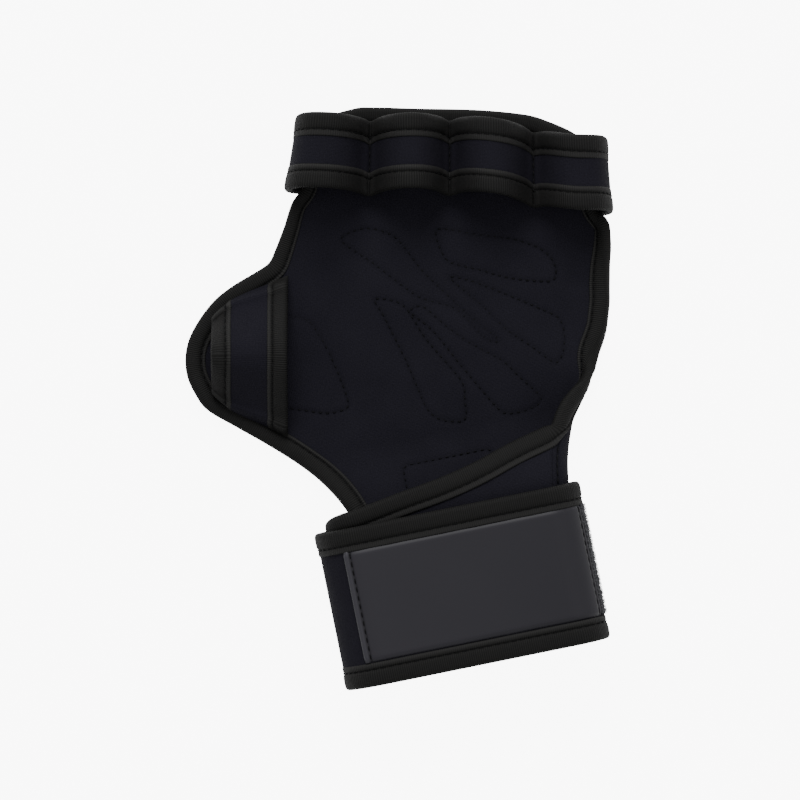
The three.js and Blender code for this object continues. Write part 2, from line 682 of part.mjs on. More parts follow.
function addThumbBand() {
  const places = spread(0, thumbSpan, 16);
  const columns = [
    ...spread(tapeEdge, tapeWidth, 2),
    ...spread(thumbBandWidth - tapeWidth, thumbBandWidth - tapeEdge, 2),
  ];
  const grid = places.map((a) => columns.map((b) => [a, b]));
  add('thumb_band', sheet(bendThumb, grid, -strapHalf, strapHalf), neoprene, 0.95, hand);
  const outer = places.map((a) => [a, tapeEdge]);
  const inner = places.map((a) => [a, thumbBandWidth - tapeEdge]);
  add('thumb_binding_outer', tapeAlong(bendThumb, outer, strapHalf), tape, 0.85, hand);
  add('thumb_binding_inner', tapeAlong(bendThumb, inner.reverse(), strapHalf), tape, 0.85, hand);
}

function addPads() {
  const outlinePoints = 25;
  for (const [name, corners] of Object.entries(pads)) {
    const places = corners.map(([across, reach]) => (
      new THREE.Vector3(across * palmWidth, reach * palmReach, 0)
    ));
    const curve = new THREE.CatmullRomCurve3(places, true, 'catmullrom', 0.4);
    const outline = curve.getSpacedPoints(outlinePoints).slice(0, -1);
    const shape = new THREE.Shape(outline.map((point) => new THREE.Vector2(point.x, point.y)));
    const depth = padThickness;
    add(name, new THREE.ExtrudeGeometry(shape, { depth, bevelEnabled: false }), padLeather, 0.8, hand);
  }
  const rows = spread(strapTop + heelPad.bottom, strapTop + heelPad.top, 4);
  const grid = rows.map((v) => spread(heelPad.left, heelPad.right, 3).map((u) => [u, v]));
  const top = -palmHalf - clearance;
  add('heel_pad', sheet(bendPalm, grid, top - padThickness, top), padLeather, 0.8);
}

addPalm();
addStrap();
addStrapFittings();
addFingerBand();
addThumbBand();
addPads();

// The part's frame: fingers to +Y, the middle of its box at X = Y = 0, its lowest point at Z = 0
const whole = new THREE.Group();
glove.rotation.z = tilt;
whole.add(glove);
whole.updateMatrixWorld(true);
const box = new THREE.Box3().setFromObject(whole, true);
const centre = box.getCenter(new THREE.Vector3());
glove.position.set(-centre.x, -centre.y, -box.min.z);

export default whole;
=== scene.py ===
# A fitness glove with an open back, right hand, lying palm down: neoprene sheets bent over the packed
# frame, bound with ribbed tape, stitched, with a patch and a fuzzy fastening strip on its wrist strap.
# Patterns and tables are in mm; a piece turns into metres when its mesh is made.
import math

import bmesh
import bpy
import numpy as np
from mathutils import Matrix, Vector


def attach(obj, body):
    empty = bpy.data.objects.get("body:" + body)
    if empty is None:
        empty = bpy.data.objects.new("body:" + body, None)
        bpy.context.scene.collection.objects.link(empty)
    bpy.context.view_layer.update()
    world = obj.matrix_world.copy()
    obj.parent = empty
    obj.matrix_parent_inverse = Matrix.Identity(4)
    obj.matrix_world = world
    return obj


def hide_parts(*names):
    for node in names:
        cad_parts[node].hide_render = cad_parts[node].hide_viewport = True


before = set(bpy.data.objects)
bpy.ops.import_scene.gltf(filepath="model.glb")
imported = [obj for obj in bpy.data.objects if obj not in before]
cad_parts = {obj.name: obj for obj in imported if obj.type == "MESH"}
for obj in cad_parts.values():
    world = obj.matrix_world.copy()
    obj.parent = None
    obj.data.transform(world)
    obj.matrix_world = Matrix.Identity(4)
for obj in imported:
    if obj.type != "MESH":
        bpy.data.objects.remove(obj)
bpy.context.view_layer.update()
print("frame loaded")

# Camera, floor and lights

view = {"height": 2.0, "across": 0.2812, "level": 0.014, "aimX": 0.0, "aimY": -0.0012}
room = {
    "floor": (0.30, 0.30, 0.30), "floorReach": 1.6, "glow": 8.5, "bounce": 1.5, "sky": 1.25,
    "key": {"place": (-0.15, 1.2, 1.05), "size": 0.9, "power": 38.0},
    "fill": {"place": (0.9, -0.4, 1.1), "size": 1.2, "power": 3.0},
}

cameraData = bpy.data.cameras.new("camera")
cameraData.sensor_width = 36
cameraData.lens = cameraData.sensor_width * (view["height"] - view["level"]) / view["across"]
camera = bpy.data.objects.new("camera", cameraData)
camera.location = (view["aimX"], view["aimY"], view["height"])
bpy.context.collection.objects.link(camera)
bpy.context.scene.camera = camera


def addLight(name, place, size, power):
    data = bpy.data.lights.new(name, "AREA")
    data.shape = "DISK"
    data.size = size
    data.energy = power
    light = bpy.data.objects.new(name, data)
    light.location = place
    light.rotation_euler = (-Vector(place)).to_track_quat("-Z", "Y").to_euler()
    bpy.context.collection.objects.link(light)


addLight("keyLight", **room["key"])
addLight("fillLight", **room["fill"])
sky = bpy.data.worlds.new("sky")
bpy.context.scene.world = sky
sky.use_nodes = True
background = sky.node_tree.nodes["Background"]
background.inputs[0].default_value = (1, 1, 1, 1)
background.inputs[1].default_value = room["sky"]
print("camera and lights set")

# Shader maths and finishes


class Wire:  # a node's output socket that takes part in plain arithmetic
    def __init__(self, look, socket):
        self.look = look
        self.socket = socket

    def maths(self, operation, *values):
        return self.look.node("ShaderNodeMath", {"operation": operation}, dict(enumerate(values)))

    def __add__(self, other):
        return self.maths("ADD", self, other)

    __radd__ = __add__

    def __sub__(self, other):
        return self.maths("SUBTRACT", self, other)

    def __rsub__(self, other):
        return self.maths("SUBTRACT", other, self)

    def __mul__(self, other):
        return self.maths("MULTIPLY", self, other)

    __rmul__ = __mul__


class Look:  # one finish and the nodes that make it
    def __init__(self, name, **shader):
        self.material = bpy.data.materials.new(name)
        self.material.use_nodes = True
        self.tree = self.material.node_tree
        self.tree.nodes.clear()
        self.shader = self.node("ShaderNodeBsdfPrincipled", {}, shader)
        self.node("ShaderNodeOutputMaterial", {}, {"Surface": self.shader})

    def node(self, kind, settings, sockets, output=0):
        made = self.tree.nodes.new(kind)
        for setting, value in settings.items():
            setattr(made, setting, value)
        for socket, value in sockets.items():
            if isinstance(value, Wire):
                self.tree.links.new(value.socket, made.inputs[socket])
            else:
                made.inputs[socket].default_value = value
        return Wire(self, made.outputs[output]) if made.outputs else None

    def feed(self, socket, wire):
        self.tree.links.new(wire.socket, self.shader.socket.node.inputs[socket])

    def stored(self, name, output):  # what a mesh keeps at its points
        return self.node("ShaderNodeAttribute", {"attribute_name": name}, {}, output)

    def mark(self):  # over 0 for painted shade in creases, grooves and stitch lines, under 0 for a painted highlight on a raised edge
        return self.stored("mark", 2)

    def lay(self, axis):  # a coordinate of the pattern that a point was cut from, in mm
        return self.node("ShaderNodeSeparateXYZ", {}, {"Vector": self.stored("lay", 1)}, axis)

    def layPlace(self, stretch=(1, 1, 1)):
        sockets = {0: self.stored("lay", 1), 1: stretch}
        return self.node("ShaderNodeVectorMath", {"operation": "MULTIPLY"}, sockets)

    def noise(self, place, scale, detail=2.0, rough=0.5):
        sockets = {"Vector": place, "Scale": scale, "Detail": detail, "Roughness": rough}
        return self.node("ShaderNodeTexNoise", {}, sockets)

    def wave(self, value, pitch):  # from 0 to 1 and back in each pitch
        turned = value * (2 * math.pi / pitch)
        return turned.maths("SINE", turned) * 0.5 + 0.5

    def mix(self, share, low, high):
        ends = [end if isinstance(end, Wire) else (*end, 1) for end in (low, high)]
        sockets = {"Factor": share, "A": ends[0], "B": ends[1]}
        return self.node("ShaderNodeMix", {"data_type": "RGBA"}, sockets, 2)

    def bump(self, height, strength, distance):
        sockets = {"Height": height, "Strength": strength, "Distance": distance}
        self.feed("Normal", self.node("ShaderNodeBump", {}, sockets))


# The darkest and the palest tone of each finish, single tones of its painted shade and painted highlights,
# and the pitches of weaves in mm

tones = {
    "neoprene": [(0.0020, 0.0018, 0.0034), (0.0076, 0.0071, 0.0106)],
    # painted shade in the neoprene's creases, pad furrows and seams
    "crease": (0.0006, 0.0006, 0.0010),
    "tape": [(0.0012, 0.0012, 0.0012), (0.0070, 0.0068, 0.0066)],
    # painted shade in the tapes' stitch grooves
    "groove": (0.0003, 0.0003, 0.0003),
    # painted highlight on the tapes' raised lips
    "lipHighlight": (0.0150, 0.0147, 0.0144),
    "patch": [(0.0070, 0.0066, 0.0089), (0.0108, 0.0102, 0.0132)],
    # painted shade at the patch's stitch lines and hem
    "patchStitchShade": (0.0030, 0.0029, 0.0036),
    # painted highlight on the patch's raised welt
    "welt": (0.0210, 0.0204, 0.0250),
    "pile": [(0.006, 0.006, 0.007), (0.020, 0.020, 0.023)],
    "fibres": [(0.020, 0.020, 0.022), (0.16, 0.16, 0.17)],
    "hooks": [(0.006, 0.006, 0.006), (0.016, 0.016, 0.017)],
    "pad": [(0.0075, 0.0075, 0.0082), (0.0130, 0.0130, 0.0140)],
    "thread": [(0.0004, 0.0004, 0.0005), (0.0018, 0.0018, 0.0022)],
}
weave = {"wales": 0.62, "courses": 0.48, "ribs": 0.74, "hookRows": 1.1, "hookColumns": 1.3}
patchSheen = {"start": 118, "slope": 0.008}  # painted sheen along the strap: paler towards the left end


def neopreneLook():
    look = Look("neoprene knit face", **{"Roughness": 0.86, "Specular IOR Level": 0.06})
    place = look.layPlace()
    patches = look.noise(place, 0.06, 3)
    fleck = look.noise(place, 1.9, 3, 0.65)
    tone = look.mix(patches * 0.5 + (fleck - 0.5) * 1.5 + 0.25, *tones["neoprene"])
    # painted shade: darker in creases, furrows and seams
    look.feed("Base Color", look.mix(look.mark(), tone, tones["crease"]))
    look.feed("Roughness", fleck * 0.14 + 0.8)
    wales = look.wave(look.lay(0) + fleck * 0.2, weave["wales"])
    courses = look.wave(look.lay(1) + fleck * 0.2, weave["courses"])
    look.bump(wales * courses + fleck * 1.3, 0.6, 0.00016)
    return look.material


def edgeTapeLook():
    look = Look("ribbed edge tape", **{"Roughness": 0.7, "Specular IOR Level": 0.08})
    fleck = look.noise(look.layPlace((0.4, 2.5, 1)), 1.0, 2)
    mark = look.mark()
    ribs = look.wave(look.lay(0) + fleck * 0.12, weave["ribs"])
    tone = look.mix(ribs * 0.6 + fleck * 0.4, *tones["tape"])
    # painted shade along the stitch groove
    grooved = look.mix(mark * 0.85, tone, tones["groove"])
    # painted highlight on the raised lip
    look.feed("Base Color", look.mix(mark * -0.55, grooved, tones["lipHighlight"]))
    look.bump(ribs + fleck * 0.3, 0.75, 0.00018)
    return look.material


def patchLook():
    look = Look("smooth patch rubber", **{"Roughness": 0.5, "Specular IOR Level": 0.15})
    grain = look.noise(look.layPlace(), 3.0, 3)
    cloud = look.noise(look.layPlace(), 0.035, 2)
    mark = look.mark()
    # painted sheen: the patch is paler towards the left end
    sheenShare = (look.lay(0) - patchSheen["start"]) * patchSheen["slope"] + cloud * 0.3
    # painted shade at the stitch lines and hem
    stitched = look.mix(mark * 0.6, look.mix(sheenShare, *tones["patch"]), tones["patchStitchShade"])
    # painted highlight on the raised welt
    look.feed("Base Color", look.mix(mark * -0.7, stitched, tones["welt"]))
    look.feed("Roughness", grain * 0.12 + 0.44)
    look.bump(grain, 0.12, 0.00005)
    return look.material


def pileLook(name, low, high):
    look = Look(name, **{"Roughness": 0.95, "Specular IOR Level": 0.1})
    fleck = look.noise(look.layPlace(), 1.6, 3)
    look.feed("Base Color", look.mix(fleck, low, high))
    look.bump(fleck, 0.6, 0.0003)
    return look.material


def hookLook():
    look = Look("fine hook tape", **{"Roughness": 0.6, "Specular IOR Level": 0.3})
    rows = look.wave(look.lay(0), weave["hookRows"]) * look.wave(look.lay(1), weave["hookColumns"])
    look.feed("Base Color", look.mix(rows, *tones["hooks"]))
    look.bump(rows, 1.0, 0.0004)
    return look.material


def padLook():
    look = Look("grained pad leather", **{"Roughness": 0.62, "Specular IOR Level": 0.3})
    place = look.layPlace()
    cells = look.node(
        "ShaderNodeTexVoronoi", {"feature": "DISTANCE_TO_EDGE"}, {"Vector": place, "Scale": 0.9},
    )
    fleck = look.noise(place, 1.2, 3)
    look.feed("Base Color", look.mix(fleck, *tones["pad"]))
    look.feed("Roughness", fleck * 0.15 + 0.55)
    look.bump(cells.maths("MINIMUM", cells, 0.18) * 3.0 + fleck * 0.25, 0.6, 0.00022)
    return look.material


def threadLook():
    look = Look("sewing thread", **{"Roughness": 0.65, "Specular IOR Level": 0.08})
    twist = look.noise(look.layPlace(), 2.0, 2)
    look.feed("Base Color", look.mix(twist, *tones["thread"]))
    look.bump(twist, 0.3, 0.0001)
    return look.material


def floorLook():
    look = Look("pale floor", **{"Roughness": 0.9, "Specular IOR Level": 0.1, "Emission Strength": 1.0})
    fleck = look.noise(look.node("ShaderNodeTexCoord", {}, {}, 3), 3.0, 2)
    look.feed("Base Color", look.mix(fleck, room["floor"], [shade * 1.01 for shade in room["floor"]]))
    seen = look.node("ShaderNodeLightPath", {}, {})  # near white to see, but it lights the glove only softly
    look.feed("Emission Color", look.mix(seen, [room["bounce"]] * 3, [room["glow"]] * 3))
    return look.material


finishes = {
    "neoprene": neopreneLook(),
    "tape": edgeTapeLook(),
    "patch": patchLook(),
    "pile": pileLook("grey loop pile", *tones["pile"]),
    "fibres": pileLook("pale pile fibres", *tones["fibres"]),
    "hooks": hookLook(),
    "pad": padLook(),
    "thread": threadLook(),
    "floor": floorLook(),
}
print("finishes made")

# The pattern's sizes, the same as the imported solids'

glove = {
    "tilt": math.radians(11.5), "shiftX": 21.540, "shiftY": -66.052,
    "palmWidth": 110, "palmReach": 171, "strapWidth": 54.8, "wristSpan": 66.9, "wristShare": 0.4797,
    "wristOpening": 9, "palmSheet": 2.4, "strapSheet": 2.0, "tapeWall": 0.6, "tapeEdge": 1.0, "tapeWidth": 8,
    "clearance": 0.4,
    "palmSlack": 0.22, "layerGap": 0.4, "padThickness": 2.2, "liftReach": 27, "seamReach": 0.142,
    "strapEnd": 49, "patchStart": 6, "patchWrap": 63, "pileReach": 55, "hookLength": 24, "rollEase": 2.3,
}
palmHalf, strapHalf = glove["palmSheet"] / 2, glove["strapSheet"] / 2
strapTape = strapHalf + glove["clearance"] + glove["tapeWall"]
palmTape = palmHalf + glove["palmSlack"] + glove["clearance"] + glove["tapeWall"]
endLevel = strapTape
underLevel = endLevel + 2 * strapTape + glove["layerGap"]
palmLevel = glove["padThickness"] + glove["clearance"] + palmHalf
heelLevel = underLevel + strapTape + glove["layerGap"] + palmTape
backLevel = heelLevel + palmTape + glove["wristOpening"] + strapTape
outerLevel = backLevel + 2 * strapTape + glove["layerGap"]
seamLevel = palmLevel + palmTape + glove["layerGap"] + strapTape
foldLeft = -glove["wristSpan"] * glove["wristShare"]
foldRight = foldLeft + glove["wristSpan"]
strapTop = glove["strapWidth"] / 2
strapEdge = strapTop - glove["tapeEdge"]
handReach = glove["palmReach"] - strapTop
seamTop = strapTop + glove["seamReach"] * handReach
seamTurn = math.radians(165)  # of the roll where the strap is sewn to it
fullTurn = math.radians(175)  # past which the cloth runs straight on
heelFold = (backLevel - heelLevel) / 2

heelRoll = {
    "reach": [0.0, 0.069, 0.142, 0.188, 0.2235, 0.248, 0.269, 0.290, 0.311, 0.331, 0.360, 0.393, 0.425],
    "across": [0.320, 0.340, 0.375, 0.412, 0.463, 0.491, 0.511, 0.532, 0.556, 0.583, 0.610, 0.627, 0.640],
    "turn": [165, 165, 165, 165, 160, 130, 92, 56, 30, 12, 3, 0, 0],
    "radius": [6.5, 6.5, 6.5, 5.7, 4.2, 3.5, 3.3, 3.4, 3.8, 4.4, 5, 5, 5],
}
thumbSide = {
    "reach": [0.075, 0.137, 0.193, 0.249, 0.303, 0.358, 0.399, 0.442, 0.488, 0.530, 0.572, 0.609, 0.634,
              0.651, 0.668, 0.697, 0.722, 0.756, 0.785, 0.810, 0.837, 0.875, 0.917, 0.960, 0.982, 1.0],
    "across": [-0.321, -0.374, -0.441, -0.519, -0.600, -0.680, -0.705, -0.718, -0.712, -0.688, -0.641, -0.582,
               -0.514, -0.450, -0.396, -0.366, -0.345, -0.318, -0.298, -0.277, -0.238, -0.224, -0.211, -0.178,
               -0.146, -0.090],
}
littleSide = {
    "reach": [0.497, 0.566, 0.605, 0.640, 0.690, 0.759, 0.798, 0.834, 0.879, 0.900, 0.935, 0.971, 1.0],
    "across": [0.658, 0.682, 0.688, 0.660, 0.656, 0.670, 0.666, 0.634, 0.553, 0.501, 0.352, 0.145, -0.010],
}


def smooth(share):
    held = np.clip(share, 0, 1)
    return held * held * (3 - 2 * held)


def bell(away, width):  # 1 in the middle, and down to 0 on both sides
    return np.exp(-((away / width) ** 2))


def unit(vectors):
    return vectors / np.maximum(np.linalg.norm(vectors, axis=-1, keepdims=True), 1e-9)


def lengthAlong(places):
    return np.concatenate([[0], np.cumsum(np.linalg.norm(np.diff(places, axis=0), axis=1))])


def readPath(path, lengths, at):
    return np.stack([np.interp(at, lengths, path[:, axis]) for axis in range(path.shape[1])], axis=1)


def readCurve(places, values, at):  # a smooth curve through a table's rows
    places, values = np.asarray(places, float), np.asarray(values, float)
    at = np.clip(np.asarray(at, float), places[0], places[-1])
    row = np.clip(np.searchsorted(places, at) - 1, 0, len(places) - 2)
    low = np.maximum(np.arange(len(places)) - 1, 0)
    high = np.minimum(np.arange(len(places)) + 1, len(places) - 1)
    slopes = (values[high] - values[low]) / (places[high] - places[low])
    width = places[row + 1] - places[row]
    t = (at - places[row]) / width
    return (
        values[row] * (1 - 3 * t**2 + 2 * t**3)
        + slopes[row] * width * (t - 2 * t**2 + t**3)
        + values[row + 1] * (3 * t**2 - 2 * t**3)
        + slopes[row + 1] * width * (t**3 - t**2)
    )


def stack(x, y, z):
    return np.stack(np.broadcast_arrays(x, y, z), axis=-1).astype(float)


def pairs(a, b):
    return np.stack(np.broadcast_arrays(a, b), axis=-1).astype(float)


def toHand(u, v):
    turn = glove["tilt"]
    return u * math.cos(turn) - v * math.sin(turn), v * math.cos(turn) + u * math.sin(turn)


def strapToRow(places):
    x, y = toHand(places[..., 0], places[..., 1])
    return stack(x + glove["shiftX"], y + glove["shiftY"], places[..., 2]) / 1000


def handToRow(places):
    return (places + (glove["shiftX"], glove["shiftY"], 0)) / 1000


# How each sheet bends from its flat pattern

band = {
    "width": 26, "span": 114.4, "height": 15, "lean": 1.8, "endReach": 12.3, "tail": 12, "tailRise": 16.2,
    "notch": 1.1, "notchWidth": 2.6, "notchFrom": -2, "notchEase": 3, "crease": 0.5, "creaseWidth": 0.8,
    "pinch": 0.6, "pinchWidth": 0.9, "taper": (0.18, 0.09), "start": -0.555 * glove["palmWidth"],
    "seams": [0.252, 0.498, 0.756],
    "lineAcross": [0.0, 0.252, 0.498, 0.625, 0.756, 0.88, 1.0],
    "lineReach": [0.883, 0.879, 0.880, 0.870, 0.856, 0.836, 0.838],
    "halfAlong": [0.0, 0.20, 0.34, 0.52, 0.75, 1.0],
    "halfRise": [0.0, 0.15, 0.40, 0.70, 0.93, 1.0],
    "endOut": [0.0, 0.35, 0.64, 0.85, 0.97, 1.0, 0.96, 0.84, 0.66],
    "endRise": [1.0, 0.985, 0.90, 0.74, 0.52, 0.32, 0.15, 0.04, 0.0],
}
thumbLoop = {
    "width": 26.4, "height": 10.5, "start": -0.797 * glove["palmWidth"],
    "across": [0.0, 0.25, 0.7, 1.0],
    "top": [0.543, 0.580, 0.606, 0.624],
    "bottom": [0.399, 0.364, 0.336, 0.316],
    "along": [0.0, 0.08, 0.18, 0.30, 0.41, 0.5],
    "rise": [0.0, 0.05, 0.30, 0.66, 0.92, 1.0],
}
wristRoll = foldRight - 3 * glove["clearance"]


def rollStart(v):
    reach = (v - strapTop) / handReach
    held = wristRoll + glove["rollEase"] * smooth((v + strapTop) / (2 * strapTop))
    fitted = held - heelRoll["across"][0] * glove["palmWidth"]
    base = readCurve(heelRoll["reach"], heelRoll["across"], np.maximum(reach, 0)) * glove["palmWidth"]
    return np.where(reach <= 0, held, base + fitted * (1 - smooth(reach / glove["seamReach"])))


def rollSize(v):
    reach = np.maximum((v - strapTop) / handReach, 0)
    return heelFold * readCurve(heelRoll["reach"], heelRoll["radius"], reach) / heelRoll["radius"][0]


def rollTurn(v):
    reach = (v - strapTop) / handReach
    turn = np.radians(readCurve(heelRoll["reach"], heelRoll["turn"], reach))
    return np.where(reach < glove["seamReach"], seamTurn, np.clip(turn, 0, seamTurn))


def bandHeight(share):
    return readCurve(band["lineAcross"], band["lineReach"], share) * glove["palmReach"]


def wristLift(v):
    return (heelLevel - palmLevel) * (1 - smooth((v - strapTop) / glove["liftReach"]))


def bandLift(u, v):
    x, y = toHand(u, v)
    line = bandHeight((x - band["start"]) / band["span"])
    inBand = 1 - smooth((np.abs(y - line) - band["width"] / 2) / band["width"])
    fromFold = band["span"] / 2 - np.abs(x - band["start"] - band["span"] / 2)
    lift = 2 * strapTape + glove["clearance"] + palmTape - palmLevel
    return lift * inBand * (1 - smooth((fromFold - band["tail"] - strapTape) / band["tailRise"]))


def bendPalm(u, v):
    level = palmLevel + wristLift(v) + bandLift(u, v)
    start, radius = rollStart(v), rollSize(v)
    past = np.maximum(u - start, 0)
    turn = np.minimum(past / radius, fullTurn)
    rest = past - turn * radius
    outward = radius * np.sin(turn) + rest * np.cos(turn)
    rise = radius * (1 - np.cos(turn)) + rest * np.sin(turn)
    slope = rollStart(v + 1) - rollStart(v - 1)
    square = np.hypot(2, slope)
    flat = np.minimum(u, start)
    return stack(flat + outward * 2 / square, v - outward * slope / square, level + rise)


innerFold = (backLevel - underLevel) / 2
rightFold = (outerLevel - underLevel) / 2
outerFold = (outerLevel - endLevel) / 2
foldEnd = math.pi * innerFold
underEnd = foldEnd + glove["wristSpan"]
sideEnd = underEnd + math.pi * rightFold
backEnd = sideEnd + glove["wristSpan"]
lastFoldEnd = backEnd + math.pi * outerFold
strapLength = lastFoldEnd + glove["strapEnd"]
diagonal = {
    "along": [0.0, 0.235, 0.438, 0.615, 0.80, 0.91, 1.0],
    "rise": [0.225, 0.372, 0.480, 0.619, 0.822, 0.920, 1.0],
}


def bendStrap(s, v):
    s, v = np.broadcast_arrays(np.asarray(s, float), np.asarray(v, float))
    drop = wristLift(strapTop) - wristLift(np.maximum(v, strapTop))
    first = np.clip(s, 0, foldEnd) / innerFold
    side = np.clip(s - underEnd, 0, sideEnd - underEnd) / rightFold
    last = np.clip(s - backEnd, 0, lastFoldEnd - backEnd) / outerFold
    x = np.select(
        [s < 0, s < foldEnd, s < underEnd, s < sideEnd, s < backEnd, s < lastFoldEnd],
        [foldLeft - s, foldLeft - innerFold * np.sin(first), foldLeft + s - foldEnd,
         foldRight + rightFold * np.sin(side), foldRight - (s - sideEnd),
         foldLeft - outerFold * np.sin(last)],
        foldLeft + s - lastFoldEnd,
    )
    z = np.select(
        [s < 0, s < foldEnd, s < underEnd, s < sideEnd, s < backEnd, s < lastFoldEnd],
        [backLevel - drop * smooth(-s / glove["wristSpan"]),
         (backLevel + underLevel) / 2 + innerFold * np.cos(first), underLevel + 0 * s,
         (outerLevel + underLevel) / 2 - rightFold * np.cos(side), outerLevel + 0 * s,
         (outerLevel + endLevel) / 2 + outerFold * np.cos(last)],
        endLevel,
    )
    return stack(x, v, z)


def seamStart(v):
    return rollStart(v) + (rollSize(v) - palmTape) * math.sin(seamTurn) - 2 * glove["layerGap"]


def strapUpper(s):
    low = diagonal["rise"][0] * (seamTop - strapTop) + strapTop
    first = foldLeft - seamStart(np.array(seamTop))
    rise = readCurve(diagonal["along"], diagonal["rise"], np.minimum(1, s / first))
    folded = low + (strapEdge - low) * smooth(s / foldEnd)
    return np.where(s >= foldEnd, strapEdge, np.where(s >= 0, folded, strapTop + rise * (seamTop - strapTop)))


def bandProfile():  # the band seen from its edge: four loops over the hand, and a fold and a tail at each end
    crest = seamLevel + band["height"]
    seams = [0] + [share * band["span"] for share in band["seams"]] + [band["span"]]
    reach = band["endReach"] - strapTape

    def half(seam, top, order):
        places = [(seam + (top - seam) * a, seamLevel + rise * band["height"])
                  for a, rise in zip(band["halfAlong"], band["halfRise"])]
        return places[::order]

    def fold(top, side):
        return [(top + side * out * reach, endLevel + rise * (crest - endLevel))
                for out, rise in zip(band["endOut"], band["endRise"])]

    left, right = band["endReach"], band["span"] - band["endReach"]
    path = [(left - reach + band["tail"], endLevel)] + fold(left, -1)[::-1] + half(seams[1], left, -1)[1:]
    for loop in (1, 2):
        middle = (seams[loop] + seams[loop + 1]) / 2
        path += half(seams[loop], middle, 1)[1:] + half(seams[loop + 1], middle, -1)[1:]
    path += half(seams[3], right, 1)[1:] + fold(right, 1)[1:] + [(right + reach - band["tail"], endLevel)]
    return np.array(path)


def roundPath(path, pitch, passes):  # evenly spaced points along a path, with its corners eased
    for _ in range(2):
        lengths = lengthAlong(path)
        even = np.linspace(0, lengths[-1], max(2, int(round(lengths[-1] / pitch)) + 1))
        path = readPath(path, lengths, even)
        for _ in range(passes):
            path[1:-1] = (path[:-2] + 2 * path[1:-1] + path[2:]) / 4
    return path


bandPath = roundPath(bandProfile(), 0.8, 3)
bandPlaces = lengthAlong(bandPath)


def bendBand(s, b):
    x = np.interp(s, bandPlaces, bandPath[:, 0])
    z = np.interp(s, bandPlaces, bandPath[:, 1])
    crest = seamLevel + band["height"]
    fromMiddle = x / band["span"] - 0.5
    lean = band["lean"] * (z - endLevel) / (crest - endLevel)
    slant = np.where(fromMiddle < 0, *band["taper"]) * (2 * fromMiddle) ** 3
    valley = sum(bell(x - seam * band["span"], band["notchWidth"]) for seam in band["seams"])
    fromSeams = z - seamLevel - band["notchFrom"]  # only the loops dip at their seams, not the folds below
    held = valley * smooth(fromSeams / band["notchEase"])
    y = bandHeight(x / band["span"]) + b + lean - band["notch"] * held
    return stack(band["start"] + x - slant * b, y, z)


def thumbEnd(b, end):
    return readCurve(thumbLoop["across"], thumbLoop[end], b / thumbLoop["width"]) * glove["palmReach"]


middleWidth = np.array(thumbLoop["width"] / 2)
thumbSpan = float(thumbEnd(middleWidth, "top") - thumbEnd(middleWidth, "bottom"))


def bendThumb(a, b):
    share = a / thumbSpan
    y = thumbEnd(b, "top") + (thumbEnd(b, "bottom") - thumbEnd(b, "top")) * share
    rise = readCurve(thumbLoop["along"], thumbLoop["rise"], np.minimum(share, 1 - share))
    return stack(thumbLoop["start"] + b, y, seamLevel + rise * thumbLoop["height"])


def normalsOf(bend, a, b):
    step = 0.5
    normal = np.cross(bend(a + step, b) - bend(a - step, b), bend(a, b + step) - bend(a, b - step))
    return normal / np.maximum(np.linalg.norm(normal, axis=-1, keepdims=True), 1e-9)


# Meshes

floorGap = 0.00002  # in metres: cloth flattens against the floor


def makePiece(name, places, faces, finish, lay=None, mark=None, nodes=(), toRow=strapToRow, caps=()):
    places = toRow(np.asarray(places, float))
    places[:, 2] = np.maximum(places[:, 2], floorGap)
    corners = places[faces]
    spread = np.cross(corners[:, 1] - corners[:, 0], corners[:, 2] - corners[:, 0])
    spread += np.cross(corners[:, 2] - corners[:, 0], corners[:, -1] - corners[:, 0])
    inside = np.sum(np.einsum("ij,ij->i", spread, corners.mean(axis=1) - places.mean(axis=0))) < 0
    loops = [*faces.tolist(), *(list(cap) for cap in caps)]
    mesh = bpy.data.meshes.new(name)
    mesh.from_pydata(places.tolist(), [], [loop[::-1] for loop in loops] if inside else loops)
    mesh.shade_smooth()
    keeps = [("lay", "FLOAT_VECTOR", "vector", lay), ("mark", "FLOAT", "value", mark)]
    for kept, kind, field, values in keeps:
        if values is not None:
            stored = mesh.attributes.new(kept, kind, "POINT")
            stored.data.foreach_set(field, np.ravel(values).astype("f"))
    mesh.materials.append(finishes[finish])
    piece = bpy.data.objects.new(name, mesh)
    bpy.context.collection.objects.link(piece)
    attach(piece, "root")
    if nodes:
        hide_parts(*nodes)
    return piece


def number(shape, first=0):
    return np.arange(math.prod(shape)).reshape(shape) + first


def bindGrid(at):  # faces between the points of a numbered grid
    return np.stack([at[:-1, :-1], at[:-1, 1:], at[1:, 1:], at[1:, :-1]], axis=-1).reshape(-1, 4)


def bindTubes(at):  # faces from each ring of points to the next
    after = np.roll(at, -1, axis=-1)
    corners = [at[..., :-1, :], at[..., 1:, :], after[..., 1:, :], after[..., :-1, :]]
    return np.stack(corners, axis=-1).reshape(-1, 4)


def sheetFaces(shape):
    top, under = number(shape), number(shape, math.prod(shape))
    ring = np.concatenate([top[0, :-1], top[:-1, -1], top[-1, :0:-1], top[:0:-1, 0]])
    after = np.roll(ring, -1)
    sides = np.stack([after, ring, ring + top.size, after + top.size], axis=-1)
    return np.concatenate([bindGrid(top), bindGrid(under)[:, ::-1], sides])


def makeSheet(name, bend, a, b, high, low, finish, mark=None, nodes=(), toRow=strapToRow):
    middle, normal = bend(a, b), normalsOf(bend, a, b)
    high, low = np.broadcast_to(high, a.shape), np.broadcast_to(low, a.shape)
    places = np.concatenate([(middle + normal * side[..., None]).reshape(-1, 3) for side in (high, low)])
    lay = np.concatenate([stack(a, b, 0).reshape(-1, 3), stack(a, b, 9).reshape(-1, 3)])
    marks = np.zeros(len(places)) if mark is None else np.concatenate([np.ravel(mark)] * 2)
    return makePiece(name, places, sheetFaces(a.shape), finish, lay, marks, nodes, toRow)


